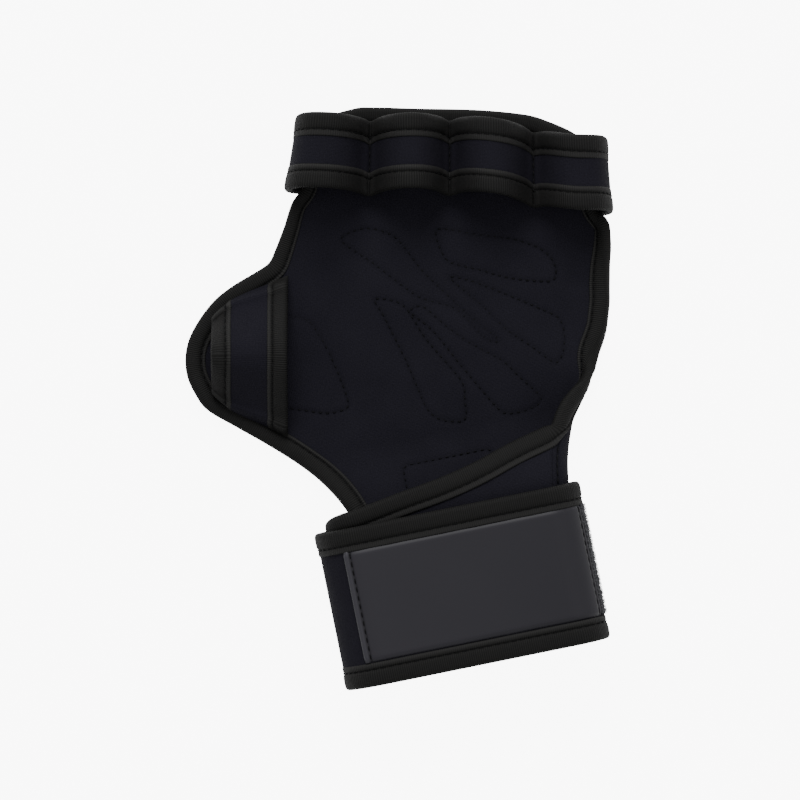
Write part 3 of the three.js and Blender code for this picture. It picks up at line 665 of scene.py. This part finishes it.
def patternGrid(start, stop, rows, low, high, columns):
    return np.meshgrid(np.linspace(start, stop, rows), np.linspace(low, high, columns), indexing="ij")


def flatArea(a, b):  # of a pattern's grid, in square metres
    p = pairs(a, b)
    one = p[1:, 1:] - p[:-1, :-1]
    two = p[1:, :-1] - p[:-1, 1:]
    return float(np.sum(np.abs(one[..., 0] * two[..., 1] - one[..., 1] * two[..., 0])) / 2e6)


def wander(run, length, size, seed):  # a slow seeded waver along a line
    dice = np.random.default_rng(seed)
    lengths = (length * stretch for stretch in (1, 1.7, 0.6))
    waves = sum(np.sin(run * 2 * math.pi / each + dice.uniform(0, 6.28)) for each in lengths)
    return waves * size / 1.8


def layLines(bend, path, depths, side):  # the sheet's middle and normal at each depth in from its edge
    ahead = unit(np.gradient(path, axis=0))
    inward = side * np.stack([-ahead[:, 1], ahead[:, 0]], axis=1)
    a = path[:, None, 0] + inward[:, None, 0] * depths
    b = path[:, None, 1] + inward[:, None, 1] * depths
    return np.concatenate([bend(a, b), normalsOf(bend, a, b)], axis=-1)


def evenPath(bend, path, pitch, ease=2):
    path = roundPath(np.asarray(path, float), 0.5, ease)
    lengths = lengthAlong(bend(path[:, 0], path[:, 1]))
    even = np.linspace(0, lengths[-1], max(3, int(round(lengths[-1] / pitch)) + 1))
    return readPath(path, lengths, even)


def tapeSection(half, roll, lip):  # depths in from the sheet's edge, and heights over its middle
    top = half + 0.98
    return np.array([
        (-1.25, 0.0), (-1.18, 0.42 * top), (-0.85, 0.72 * top), (-0.3, 0.92 * top), (0.6, top),
        (roll * 0.5, top), (roll - 1.2, 0.97 * top), (roll - 0.5, 0.86 * top), (roll - 0.1, half + 0.38),
        (roll + 0.15, half + 0.12), (roll + 0.4, half + 0.3), (roll + 0.75, half + 0.62),
        (lip - 0.45, half + 0.6), (lip - 0.12, half + 0.36), (lip, half + 0.02), (lip, half - 0.35),
    ])


# Rows of the section: where the run is measured, where the stitches lie and which of the lip get a painted
# highlight
tape = {
    # holes: painted shade along the stitch groove, darkest at each stitch
    "runRow": 4, "groove": 9, "lip": {11: -0.3, 12: -1.0, 13: -0.6}, "holes": (0.6, 0.4),
    "flat": 0.76, "waver": 0.035, "waverLength": 17,
}
# A run is the pitch and the length of a stitch; the lists go along one stitch
threads = {
    "run": (2.9, 2.1), "padRun": (2.5, 1.2), "radius": 0.2, "sides": 5, "along": [0.0, 0.12, 0.5, 0.88, 1.0],
    "rise": [-0.3, 0.05, 0.16, 0.05, -0.3], "thick": [0.5, 1.0, 1.0, 1.0, 0.5],
}


def makeTape(name, lines, section, nodes=(), toRow=strapToRow, slim=1.0):  # slim pinches it along the run
    middle, normal = lines[..., :3], unit(lines[..., 3:])
    run = lengthAlong(middle[:, tape["runRow"]])
    level = np.abs(normal[:, tape["runRow"], 2])
    tight = tape["flat"] + (1 - tape["flat"]) * level  # pulled thin where the cloth turns up at a fold
    swell = slim * tight * (1 + wander(run, tape["waverLength"], tape["waver"], len(run)))
    heights = (section[:, 1][None] * swell[:, None])[..., None]
    over, under = middle + normal * heights, middle - normal * heights
    ring = np.concatenate([over[:, ::-1], under[:, 1:]], axis=1)
    around = np.concatenate([section[::-1, 0], -section[1:, 0] - 4])
    lay = stack(run[:, None], around, 0)
    at = number(ring.shape[:2])
    after = np.roll(at, -1, axis=1)
    faces = np.stack([at[:-1], after[:-1], after[1:], at[1:]], axis=-1).reshape(-1, 4)
    marks = np.zeros(at.shape)
    edge = len(section) - 1  # where the ring turns from the upper half to the under one
    # painted shade along the stitch grooves, darkest at each stitch
    holes = tape["holes"][0] + tape["holes"][1] * np.cos(run * 2 * math.pi / threads["run"][0])
    marks[:, [edge - tape["groove"], edge + tape["groove"]]] = holes[:, None]
    # the lip's rows get a painted highlight
    for row, shade in tape["lip"].items():
        marks[:, [edge - row, edge + row]] = shade
    caps = [at[0][::-1].tolist(), at[-1].tolist()]
    return makePiece(
        name, ring.reshape(-1, 3), faces, "tape", lay.reshape(-1, 3), marks, nodes, toRow, caps,
    )


def makeRings(spine, size, aside, up, turns):  # points round each point of a spine
    around = np.cos(turns)[:, None] * aside[..., None, :] + np.sin(turns)[:, None] * up[..., None, :]
    return spine[..., None, :] + size * around


def makeStitches(name, rows, toRow=strapToRow, run=threads["run"]):
    shapes, faces, lays, count = [], [], [], 0
    along, rise = np.array(threads["along"]), np.array(threads["rise"])[:, None]
    size = threads["radius"] * np.array(threads["thick"])[:, None, None]
    turns = np.arange(threads["sides"]) * 2 * math.pi / threads["sides"]
    for places, normal in rows:
        at = lengthAlong(places)
        pitch = at[-1] / max(1, round(at[-1] / run[0]))
        for start in np.arange(pitch * 0.15, at[-1] - run[1], pitch):
            spots = start + along * run[1]
            line, up = readPath(places, at, spots), unit(readPath(normal, at, spots))
            aside = np.cross(unit(np.gradient(line, axis=0)), up)
            shapes.append(makeRings(line + up * rise, size, aside, up, turns).reshape(-1, 3))
            own = number((len(spots), len(turns)), count)
            faces.append(bindTubes(own))
            lays.append(stack(spots[:, None] * 3, turns, 0).reshape(-1, 3))
            count += own.size
    shape, lay = np.concatenate(shapes), np.concatenate(lays)
    return makePiece(name, shape, np.concatenate(faces), "thread", lay, None, (), toRow)


def grooveRows(lines, section, sides=(1, -1)):  # where a tape's two rows of stitches lie
    row = tape["groove"]
    middle, normal = lines[:, row, :3], unit(lines[:, row, 3:])
    return [(middle + normal * side * section[row, 1], normal * side) for side in sides]


def patternRow(bend, path, height, side=1):
    path = np.asarray(path, float)
    normal = side * normalsOf(bend, path[:, 0], path[:, 1])
    return bend(path[:, 0], path[:, 1]) + normal * height, normal


# Palm panel

palm = {
    "pitchUp": 0.95, "flatColumns": 125, "rollColumns": 32, "corner": 10, "inset": 6,
    "furrow": 0.3, "furrowWidth": 0.6, "waver": 0.22, "seamTurn": math.radians(149), "seamDip": 0.35,
    "seamWidth": 0.5,
}
palmLeft = foldLeft - innerFold + strapTape + glove["tapeEdge"] + palm["inset"]


def thumbEdge(v):
    up = np.clip((v + strapEdge) / palm["corner"], 0, 1)
    wrist = palmLeft + palm["corner"] * (1 - np.sqrt(np.maximum(0, 1 - (1 - up) ** 2)))
    first = strapTop + 3
    places = [first - 6, first] + [strapTop + reach * handReach for reach in thumbSide["reach"]]
    values = [palmLeft] * 2 + [across * glove["palmWidth"] for across in thumbSide["across"]]
    return np.where(v < first, wrist, readCurve(places, values, v))


def littleEdge(v):
    rolled = rollStart(v) + rollSize(v) * rollTurn(v)
    last = strapTop + heelRoll["reach"][-1] * handReach
    places = [last - 4, last] + [strapTop + reach * handReach for reach in littleSide["reach"]]
    across = [heelRoll["across"][-1]] * 2 + littleSide["across"]
    return np.where(v < last, rolled, readCurve(places, [share * glove["palmWidth"] for share in across], v))


rowCount = int((glove["palmReach"] + strapEdge) / palm["pitchUp"])
palmRows = np.linspace(-strapEdge, glove["palmReach"], rowCount)
edgeLeft, edgeRight = thumbEdge(palmRows), littleEdge(palmRows)
rollWidth = edgeRight - np.minimum(rollStart(palmRows), edgeRight - 8)
rollShare = np.clip(rollWidth / (edgeRight - edgeLeft), 0.02, 0.5)
shares = np.concatenate([
    np.linspace(0, 1, palm["flatColumns"], endpoint=False)[None, :] * (1 - rollShare[:, None]),
    1 - rollShare[:, None] + np.linspace(0, 1, palm["rollColumns"])[None, :] * rollShare[:, None],
], axis=1)
palmU = edgeLeft[:, None] + shares * (edgeRight - edgeLeft)[:, None]
palmV = np.repeat(palmRows[:, None], shares.shape[1], axis=1)

# Outlines of the pads, as shares of the palm's width and reach; the panel is stitched along them
padOutlines = {
    "grip_pad_1": [(-0.386, 0.711), (-0.306, 0.734), (-0.211, 0.715), (-0.118, 0.642), (0.026, 0.555),
                   (0.122, 0.503), (0.080, 0.506), (-0.020, 0.569), (-0.135, 0.592), (-0.281, 0.661)],
    "grip_pad_2": [(-0.078, 0.731), (0.041, 0.722), (0.167, 0.711), (0.256, 0.692), (0.300, 0.663),
                   (0.294, 0.626), (0.167, 0.630), (0.065, 0.647), (-0.045, 0.668)],
    "grip_pad_3": [(-0.036, 0.632), (0.038, 0.624), (0.150, 0.596), (0.236, 0.573), (0.318, 0.546),
                   (0.332, 0.496), (0.306, 0.456), (0.220, 0.493), (0.148, 0.524), (0.063, 0.577)],
    "grip_pad_4": [(-0.163, 0.562), (-0.121, 0.572), (-0.055, 0.536), (0.032, 0.496), (0.130, 0.462),
                   (0.183, 0.430), (0.256, 0.385), (0.236, 0.365), (0.167, 0.352), (0.122, 0.360),
                   (0.006, 0.446), (-0.087, 0.520)],
    "grip_pad_5": [(-0.277, 0.588), (-0.186, 0.575), (-0.112, 0.505), (0.000, 0.420), (0.012, 0.382),
                   (0.012, 0.338), (-0.060, 0.338), (-0.110, 0.362), (-0.170, 0.451), (-0.246, 0.550)],
    "thumb_pad": [(-0.620, 0.548), (-0.500, 0.546), (-0.452, 0.510), (-0.410, 0.458), (-0.375, 0.402),
                  (-0.363, 0.365), (-0.422, 0.352), (-0.500, 0.358), (-0.620, 0.375), (-0.640, 0.460)],
}


def roundOutline(corners, pitch=1.2):  # a closed smooth curve through the corners, in the hand's frame
    points = np.array(corners) * (glove["palmWidth"], glove["palmReach"])
    count = len(points)
    curve = []
    for corner in range(count):
        before, here, after, beyond = (points[(corner + step) % count] for step in (-1, 0, 1, 2))
        for t in np.linspace(0, 1, 12, endpoint=False):
            leave, reach = 0.4 * (after - before), 0.4 * (beyond - here)
            curve.append(here * (2 * t**3 - 3 * t**2 + 1) + leave * (t**3 - 2 * t**2 + t)
                         + after * (3 * t**2 - 2 * t**3) + reach * (t**3 - t**2))
    closed = np.array(curve + curve[:1])
    run = lengthAlong(closed)
    even = np.linspace(0, run[-1], max(12, int(run[-1] / pitch)), endpoint=False)
    return readPath(closed, run, even)


def handToStrap(places):
    turn = glove["tilt"]
    x, y = places[:, 0], places[:, 1]
    return pairs(x * math.cos(turn) + y * math.sin(turn), y * math.cos(turn) - x * math.sin(turn))


heelPad = {
    "left": -12, "right": 20, "bottom": 1.8, "top": 17, "gap": 0.25, "edge": 1.2, "edgeShare": 0.4,
    "channel": 1.9, "channelWidth": 0.4, "channelDip": 0.3,
}
outlines = {name: roundOutline(corners) for name, corners in padOutlines.items()}
heelCorners = np.array([
    (heelPad["left"], strapTop + heelPad["bottom"]), (heelPad["left"], strapTop + heelPad["top"]),
    (heelPad["right"], strapTop + heelPad["top"]), (heelPad["right"], strapTop + heelPad["bottom"]),
])
sewn = [handToStrap(np.concatenate([path, path[:1]])) for path in outlines.values()]
sewn.append(roundPath(np.concatenate([heelCorners, heelCorners[:1]]), 1.2, 1))

unseen = 99.0  # farther than any furrow reaches
furrow = np.full(palmU.shape, unseen)
for path in sewn:
    low, high = path.min(axis=0) - 4, path.max(axis=0) + 4
    near = (palmU > low[0]) & (palmU < high[0]) & (palmV > low[1]) & (palmV < high[1])
    spots = pairs(palmU[near], palmV[near])
    nearest = np.full(len(spots), unseen)
    for here, after in zip(path[:-1], path[1:]):
        edge = after - here
        share = np.clip(((spots - here) @ edge) / max(edge @ edge, 1e-9), 0, 1)
        nearest = np.minimum(nearest, np.linalg.norm(spots - here - share[:, None] * edge, axis=1))
    furrow[near] = np.minimum(furrow[near], nearest)
dip = bell(furrow, palm["furrowWidth"])
fromEdge = np.minimum(palmU - edgeLeft[:, None], edgeRight[:, None] - palmU)
waver = palm["waver"] * smooth((fromEdge - 7) / 10) * (
    np.sin(palmU / 9.5 + 1.3 * np.sin(palmV / 17)) * np.sin(palmV / 12.5 + 0.8 * np.sin(palmU / 14))
)
fromSeam = palmU - rollStart(palmV) - rollSize(palmV) * palm["seamTurn"]
sewnDip = bell(fromSeam, palm["seamWidth"]) * smooth((seamTop - 3 - palmV) / 3)  # the strap's seam
# the panel's mark paints shade into the pad furrows and along the strap's seam
panel = makeSheet(
    "palm_sheet", bendPalm, palmU, palmV, palmHalf + waver - palm["furrow"] * dip,
    -palmHalf + 0.1 * dip + palm["seamDip"] * sewnDip, "neoprene", dip * 0.3 + sewnDip * 0.6,
    ["palm_panel"],
)
padRows = [patternRow(bendPalm, path, palmHalf - 0.75 * palm["furrow"]) for path in sewn]
makeStitches("pad_stitches", padRows, run=threads["padRun"])
print("palm panel made", flatArea(palmU, palmV))

# Wrist strap

strapCloth = {"seamRows": 60, "rows": 260, "columns": 48, "tuck": 1.9}  # tuck: how far it runs into the roll
strapU = np.concatenate([
    np.linspace(0, 1, strapCloth["seamRows"], endpoint=False),
    1 + np.linspace(0, strapLength, strapCloth["rows"]),
])
seamLength = float(foldLeft - seamStart(np.array(seamTop)))


def strapGrid(columns):
    grid = []
    for place in strapU:
        s = place - 1 if place >= 1 else seamLength * (1 - place)
        v = np.linspace(-strapEdge, float(strapUpper(np.array(s))), columns)
        sewnEnd = foldLeft - seamStart(v) - strapCloth["tuck"]
        grid.append(pairs(s if place >= 1 else sewnEnd * (1 - place), v))
    return np.array(grid)


strapPlaces = strapGrid(strapCloth["columns"])
strap = makeSheet(
    "strap_sheet", bendStrap, strapPlaces[..., 0], strapPlaces[..., 1], strapHalf, -strapHalf,
    "neoprene", None, ["wrist_strap"],
)

# Edge tapes of the panel and the strap: one from the panel's wrist end round the thumb, the fingers and
# the roll, along the strap's slanting upper edge to its end, and one along the wrist and the lower edge

gloveTape = {
    "palmRoll": 4.3, "palmLip": 6.0, "strapRoll": 4.6, "strapLip": 7.1, "pitch": 1.0, "jointLines": 9,
    "start": -6.0, "tip": [(-9, 170.4), (-1.5, 170.8)], "tipGap": 2.2, "drop": 0.8,
    "jointEase": (14, 10), "cuffLines": 3, "cuffEase": (8, 8),
    "narrow": 0.28, "narrowFrom": 104, "narrowEase": 30, "narrowTo": 145, "wideEase": 15,
}
sectionPalm = tapeSection(palmHalf, gloveTape["palmRoll"], gloveTape["palmLip"])
sectionStrap = tapeSection(strapHalf, gloveTape["strapRoll"], gloveTape["strapLip"])


def joinLines(first, second, between):
    blend = smooth(np.linspace(0, 1, between + 2)[1:-1])[:, None, None]
    bridge = first[-1][None] * (1 - blend) + second[0][None] * blend
    return np.concatenate([first, bridge, second]), len(first) + between // 2


def easeLines(lines, middle, reach, passes):
    for _ in range(passes):
        low, high = max(1, middle - reach), min(len(lines) - 1, middle + reach)
        lines[low:high] = (lines[low - 1:high - 1] + 2 * lines[low:high] + lines[low + 1:high + 1]) / 4
    return lines


rows = np.arange(gloveTape["start"], glove["palmReach"] - gloveTape["tipGap"], 0.6)
thumbPath = pairs(thumbEdge(rows), rows)
rows = np.arange(glove["palmReach"] - gloveTape["tipGap"], seamTop + 1.0, -0.6)
littlePath = pairs(littleEdge(rows), rows)
roundPalm = np.concatenate([thumbPath, gloveTape["tip"], littlePath])
palmPath = evenPath(bendPalm, roundPalm, gloveTape["pitch"], 3)
reachUp = toHand(palmPath[:, 0], palmPath[:, 1])[1]
besideBand = smooth((reachUp - gloveTape["narrowFrom"]) / gloveTape["narrowEase"])
besideBand = besideBand * (1 - smooth((reachUp - gloveTape["narrowTo"]) / gloveTape["wideEase"]))
palmDepths = (1 - gloveTape["narrow"] * besideBand)[:, None] * sectionPalm[:, 0]
palmLines = layLines(bendPalm, palmPath, palmDepths, -1)
alongTop = np.concatenate([np.arange(seamLength + 1.0, 0, 1.0), np.arange(0, strapLength, 1.0)])
topPath = evenPath(bendStrap, pairs(alongTop, strapUpper(alongTop)), gloveTape["pitch"], 2)
topLines = layLines(bendStrap, topPath, sectionStrap[:, 0], -1)
bothLines, joint = joinLines(palmLines, topLines, gloveTape["jointLines"])
bothLines = easeLines(bothLines, joint, *gloveTape["jointEase"])
upperTape = makeTape(
    "palm_and_strap_tape", bothLines, sectionPalm, ["palm_binding", "heel_binding", "strap_binding_upper"],
)

rows = np.arange(gloveTape["start"] - 0.6, -strapEdge + 0.05, -0.5)
cornerPath = pairs(thumbEdge(rows), rows)
ends = np.arange(float(thumbEdge(rows[-1])), float(littleEdge(np.array(-strapEdge))), 0.8)
cuffPath = np.concatenate([cornerPath, pairs(ends, -strapEdge)])
cuffLines = layLines(bendPalm, evenPath(bendPalm, cuffPath, gloveTape["pitch"], 4), sectionPalm[:, 0], 1)
alongLow = np.arange(float(foldLeft - seamStart(np.array(-strapEdge))), strapLength, 1.0)
lowPath = evenPath(bendStrap, pairs(alongLow, -strapEdge - gloveTape["drop"]), gloveTape["pitch"], 2)
lowLines = layLines(bendStrap, lowPath, sectionStrap[:, 0], 1)
cuffBoth, joint = joinLines(cuffLines, lowLines, gloveTape["cuffLines"])
cuffBoth = easeLines(cuffBoth, joint, *gloveTape["cuffEase"])
lowerTape = makeTape("cuff_tape", cuffBoth, sectionStrap, ["strap_binding_lower"])
tapeStitches = makeStitches(
    "tape_stitches", grooveRows(bothLines, sectionPalm) + grooveRows(cuffBoth, sectionStrap),
)
print("edge tapes made")

# Finger band

bandEdge = band["width"] / 2 - glove["tapeEdge"]
bandS = np.linspace(0, bandPlaces[-1], 300)
gridS, gridB = patternGrid(0, bandPlaces[-1], 300, -bandEdge, bandEdge, 28)
seamS = np.interp(np.array(band["seams"]) * band["span"], bandPath[8:-8, 0], bandPlaces[8:-8])
crease = sum(bell(gridS - place, band["creaseWidth"]) for place in seamS)
# the band's mark paints shade into the creases at its seams
bandPiece = makeSheet(
    "finger_band_sheet", bendBand, gridS, gridB, strapHalf - band["crease"] * crease, -strapHalf,
    "neoprene", 0.8 * crease, ["finger_band"], handToRow,
)


def pinched(s):  # the seams between the loops press the tape together
    return 1 - band["pinch"] * sum(bell(s - place, band["pinchWidth"]) for place in seamS)


def bindEdge(name, bend, path, section, side, node, thin):  # the tape on one edge of a band
    path = evenPath(bend, path, 0.7, 1)
    lines = layLines(bend, path, section[:, 0], side)
    return makeTape(name, lines, section, [node], handToRow, thin(path[:, 0])), lines


frontTape, frontLines = bindEdge(
    "finger_tape_front", bendBand, pairs(bandS, bandEdge), sectionStrap, -1, "finger_binding_front", pinched,
)
rearTape, rearLines = bindEdge(
    "finger_tape_rear", bendBand, pairs(bandS, -bandEdge), sectionStrap, 1, "finger_binding_rear", pinched,
)
acrossBand = np.linspace(1 - bandEdge, bandEdge - 1, 30)
seamRows = [patternRow(bendBand, pairs(place, acrossBand), strapHalf - band["crease"]) for place in seamS]
bandRows = grooveRows(frontLines, sectionStrap) + grooveRows(rearLines, sectionStrap) + seamRows
bandStitches = makeStitches("finger_band_stitches", bandRows, handToRow)
print("finger band made")

# Thumb band: its ends thin out and slip under the panel's edge tape

thumbCloth = {"under": 1.6, "thin": 3.0, "left": 0.22, "rest": 0.3, "roll": 3.8, "lip": 5.9}


def thumbEase(a):
    return smooth((np.minimum(a, thumbSpan - a) + thumbCloth["under"]) / thumbCloth["thin"])


def tuckThumb(a, b):
    sunk = (seamLevel - palmLevel - palmHalf - thumbCloth["rest"]) * (1 - thumbEase(a))
    return bendThumb(a, b) - stack(0, 0, sunk)


def thumbThin(a):
    return thumbCloth["left"] + (1 - thumbCloth["left"]) * thumbEase(a)


thumbEdges = (glove["tapeEdge"], thumbLoop["width"] - glove["tapeEdge"])
thumbA = np.linspace(-thumbCloth["under"], thumbSpan + thumbCloth["under"], 80)
gridA, gridB = patternGrid(thumbA[0], thumbA[-1], 80, *thumbEdges, 32)
thumbPiece = makeSheet(
    "thumb_band_sheet", tuckThumb, gridA, gridB, strapHalf * thumbThin(gridA), -strapHalf * thumbThin(gridA),
    "neoprene", None, ["thumb_band"], handToRow,
)
sectionThumb = tapeSection(strapHalf, thumbCloth["roll"], thumbCloth["lip"])
outer, inner = pairs(thumbA, thumbEdges[0]), pairs(thumbA, thumbEdges[1])
outerTape, outerLines = bindEdge(
    "thumb_tape_outer", tuckThumb, outer, sectionThumb, 1, "thumb_binding_outer", thumbThin,
)
innerTape, innerLines = bindEdge(
    "thumb_tape_inner", tuckThumb, inner, sectionThumb, -1, "thumb_binding_inner", thumbThin,
)
thumbRows = grooveRows(outerLines, sectionThumb) + grooveRows(innerLines, sectionThumb)
thumbRows = [(middle[4:-4], normal[4:-4]) for middle, normal in thumbRows]  # none at the tucked ends
thumbStitches = makeStitches("thumb_band_stitches", thumbRows, handToRow)
print("thumb band made")

# Patch, loop pile and hook tab on the strap

inside = strapTop - glove["tapeWidth"] - glove["clearance"]
patchEnd = sideEnd - math.radians(glove["patchWrap"]) * rightFold
patch = {
    "left": backEnd + glove["patchStart"], "rise": 0.8, "tuck": 0.9, "tuckDip": 0.8, "tuckEase": 1.7,
    "welt": 2.1, "weltRise": 0.45, "weltEase": 0.4, "stitch": 2.35, "stitchEnd": 1.6, "stitchWidth": 0.35,
    "stitchDip": 0.35, "hem": 0.5, "hemDip": 0.5, "waver": 0.05,
}
patchSide = inside + patch["tuck"]
s, v = patternGrid(patchEnd, patch["left"], 260, -patchSide, patchSide, 64)
fromLeft, fromRight = patch["left"] - s, s - patchEnd
edgeDrop = bell(fromLeft, patch["hem"]) + bell(fromRight, patch["hem"])
stitchDip = bell(fromLeft - patch["stitch"], patch["stitchWidth"])
stitchDip = stitchDip + bell(fromRight - patch["stitchEnd"], patch["stitchWidth"])
welt = smooth(fromLeft / patch["weltEase"]) * smooth((patch["welt"] - fromLeft) / patch["weltEase"])
underLips = 1 - smooth((patchSide - np.abs(v)) / patch["tuckEase"])  # it dips under the tapes' lips
patchHeight = (
    strapHalf + patch["rise"] * (1 - patch["tuckDip"] * underLips) + welt * patch["weltRise"]
    - patch["hemDip"] * edgeDrop - patch["stitchDip"] * stitchDip
    + patch["waver"] * np.sin(s / 7.0) * np.sin(v / 9.0)
)
# the patch's mark paints shade at the stitch lines and hem, and a highlight on the welt
patchPiece = makeSheet(
    "patch_sheet", bendStrap, s, v, -patchHeight, -strapHalf + 0.2, "patch",
    stitchDip + 0.6 * edgeDrop - 0.8 * welt, ["strap_patch"],
)
sides = np.linspace(-inside - 0.4, inside + 0.4, 60)
patchRows = [
    patternRow(bendStrap, pairs(place, sides), strapHalf + patch["rise"] - 0.3, -1)
    for place in (patch["left"] - patch["stitch"], patchEnd + patch["stitchEnd"])
]
patchStitches = makeStitches("patch_stitches", patchRows)

pile = {
    "rise": 0.5, "side": 0.9, "fibres": 5200, "length": (0.5, 1.25), "radius": 0.045, "lean": 0.75,
    "seed": 11, "foldShare": 0.78, "foldStart": 4, "underReach": 50,
}
s, v = patternGrid(
    underEnd - glove["pileReach"], patchEnd, 110, -inside - pile["side"], inside + pile["side"], 56,
)
pilePiece = makeSheet(
    "pile_base", bendStrap, s, v, -strapHalf - pile["rise"], -strapHalf + 0.2, "pile",
    nodes=["strap_loop_pile"],
)


def makeFibres():  # short bent hairs over the fold, where the pile shows, and thinly under the wrist
    dice = np.random.default_rng(pile["seed"])
    count = pile["fibres"]
    share = dice.random(count)
    foldStart = underEnd + pile["foldStart"]
    onFold = dice.uniform(foldStart, patchEnd + 0.3, count)
    beneath = dice.uniform(underEnd - pile["underReach"], foldStart, count)
    s = np.where(share < pile["foldShare"], onFold, beneath)
    v = dice.uniform(-inside - 0.3, inside + 0.3, count)
    root, normal = bendStrap(s, v), -normalsOf(bendStrap, s, v)
    along = unit(bendStrap(s + 0.5, v) - bendStrap(s - 0.5, v))
    across = np.cross(normal, along)
    heading = dice.uniform(0, 2 * math.pi, count)[:, None]
    tilt = dice.uniform(0.1, pile["lean"], count)[:, None]
    lean = (np.cos(heading) * along + np.sin(heading) * across) * tilt
    length = dice.uniform(*pile["length"], count)[:, None]
    foot = root + normal * (strapHalf + pile["rise"] - 0.15)
    knee = foot + (normal + 0.35 * lean) * length * 0.6
    tip = foot + (normal * 0.8 + 1.3 * lean) * length
    spine = np.stack([foot, knee, tip], axis=1)
    size = pile["radius"] * np.array([1.2, 1.0, 0.45])[None, :, None, None]
    side = unit(np.cross(tip - foot, along + 0.01))
    other = unit(np.cross(tip - foot, side))
    turns = np.arange(3) * 2 * math.pi / 3
    ring = makeRings(spine, size, side[:, None], other[:, None], turns)
    lay = np.repeat(stack(s, v, 0)[:, None], 9, axis=1).reshape(-1, 3)
    faces = bindTubes(number((count, 3, 3)))
    return makePiece("pile_fibres", ring.reshape(-1, 3), faces, "fibres", lay)


fibres = makeFibres()
hooks = {"rise": 1.0, "inset": 1}
s, v = patternGrid(strapLength - glove["hookLength"], strapLength - hooks["inset"], 60, -inside, inside, 60)
hookPiece = makeSheet(
    "hook_tab", bendStrap, s, v, strapHalf + hooks["rise"], strapHalf - 0.2, "hooks",
    nodes=["strap_hook_tab"],
)
seamColumn = np.linspace(-strapEdge + 6, seamTop - 6, 60)
seamPath = pairs(rollStart(seamColumn) + rollSize(seamColumn) * palm["seamTurn"], seamColumn)
seamRow = patternRow(bendPalm, seamPath, palmHalf - palm["seamDip"] + 0.1, -1)
seamStitches = makeStitches("strap_seam_stitches", [seamRow])
print("strap fittings made")

# Pads under the palm: leather over thin foam, with an eased edge and a sewn channel

# Each ring is how far the sewn face goes in, and how far it then rises or drops
padShape = {"rings": [(0.45, -0.5), (0.5, -0.25), (0.45, 0.3), (0.45, -0.32)], "top": 2.45, "side": 0.85}


def makePad(name, outline):
    mesh = bmesh.new()
    rim = [mesh.verts.new((x, y, padShape["top"])) for x, y in outline]
    cap = mesh.faces.new(rim)
    skirt = [mesh.verts.new((x, y, padShape["side"])) for x, y in outline]
    for here in range(len(rim)):
        after = (here + 1) % len(rim)
        mesh.faces.new((rim[here], rim[after], skirt[after], skirt[here]))
    face = mesh.faces.new(skirt[::-1])
    bmesh.ops.recalc_face_normals(mesh, faces=mesh.faces)
    for width, drop in padShape["rings"]:
        bmesh.ops.inset_region(mesh, faces=[face], thickness=width, use_even_offset=True)
        for vert in face.verts:
            vert.co.z += drop
    cap.smooth = True
    bmesh.ops.triangulate(mesh, faces=[cap, face])
    mesh.verts.index_update()
    places = np.array([vert.co for vert in mesh.verts])
    loops = [[vert.index for vert in face.verts] for face in mesh.faces]
    quads = np.array([loop for loop in loops if len(loop) == 4])
    triangles = [loop for loop in loops if len(loop) == 3]
    mesh.free()
    places[:, 2] = np.maximum(places[:, 2], floorGap * 1000)
    return makePiece(
        name + "_leather", places, quads, "pad", places, None, [name], handToRow, triangles,
    )


for name, outline in outlines.items():
    makePad(name, outline)
low, high = strapTop + heelPad["bottom"], strapTop + heelPad["top"]
s, v = patternGrid(heelPad["left"], heelPad["right"], 66, low, high, 36)
inward = np.minimum(np.minimum(s - heelPad["left"], heelPad["right"] - s), np.minimum(v - low, high - v))
rounded = heelPad["edgeShare"] + (1 - heelPad["edgeShare"]) * np.sqrt(np.clip(inward / heelPad["edge"], 0, 1))
channel = heelPad["channelDip"] * bell(inward - heelPad["channel"], heelPad["channelWidth"])
padTop = -palmHalf - heelPad["gap"]
heelPiece = makeSheet(
    "heel_pad_leather", bendPalm, s, v, padTop, padTop - glove["padThickness"] * rounded + channel,
    "pad", nodes=["heel_pad"],
)
print("pads made")

# How long the thumb band runs, at each line across its width

thumbRuns = [lengthAlong(tuckThumb(a, b))[-1] for a, b in zip(gridA.T, gridB.T)]

# Floor

floorMesh = bpy.data.meshes.new("floor")
reach = room["floorReach"]
floorCorners = [(-reach, -reach, 0), (reach, -reach, 0), (reach, reach, 0), (-reach, reach, 0)]
floorMesh.from_pydata(floorCorners, [], [(0, 1, 2, 3)])
floorMesh.materials.append(finishes["floor"])
floor = bpy.data.objects.new("floor", floorMesh)
bpy.context.collection.objects.link(floor)
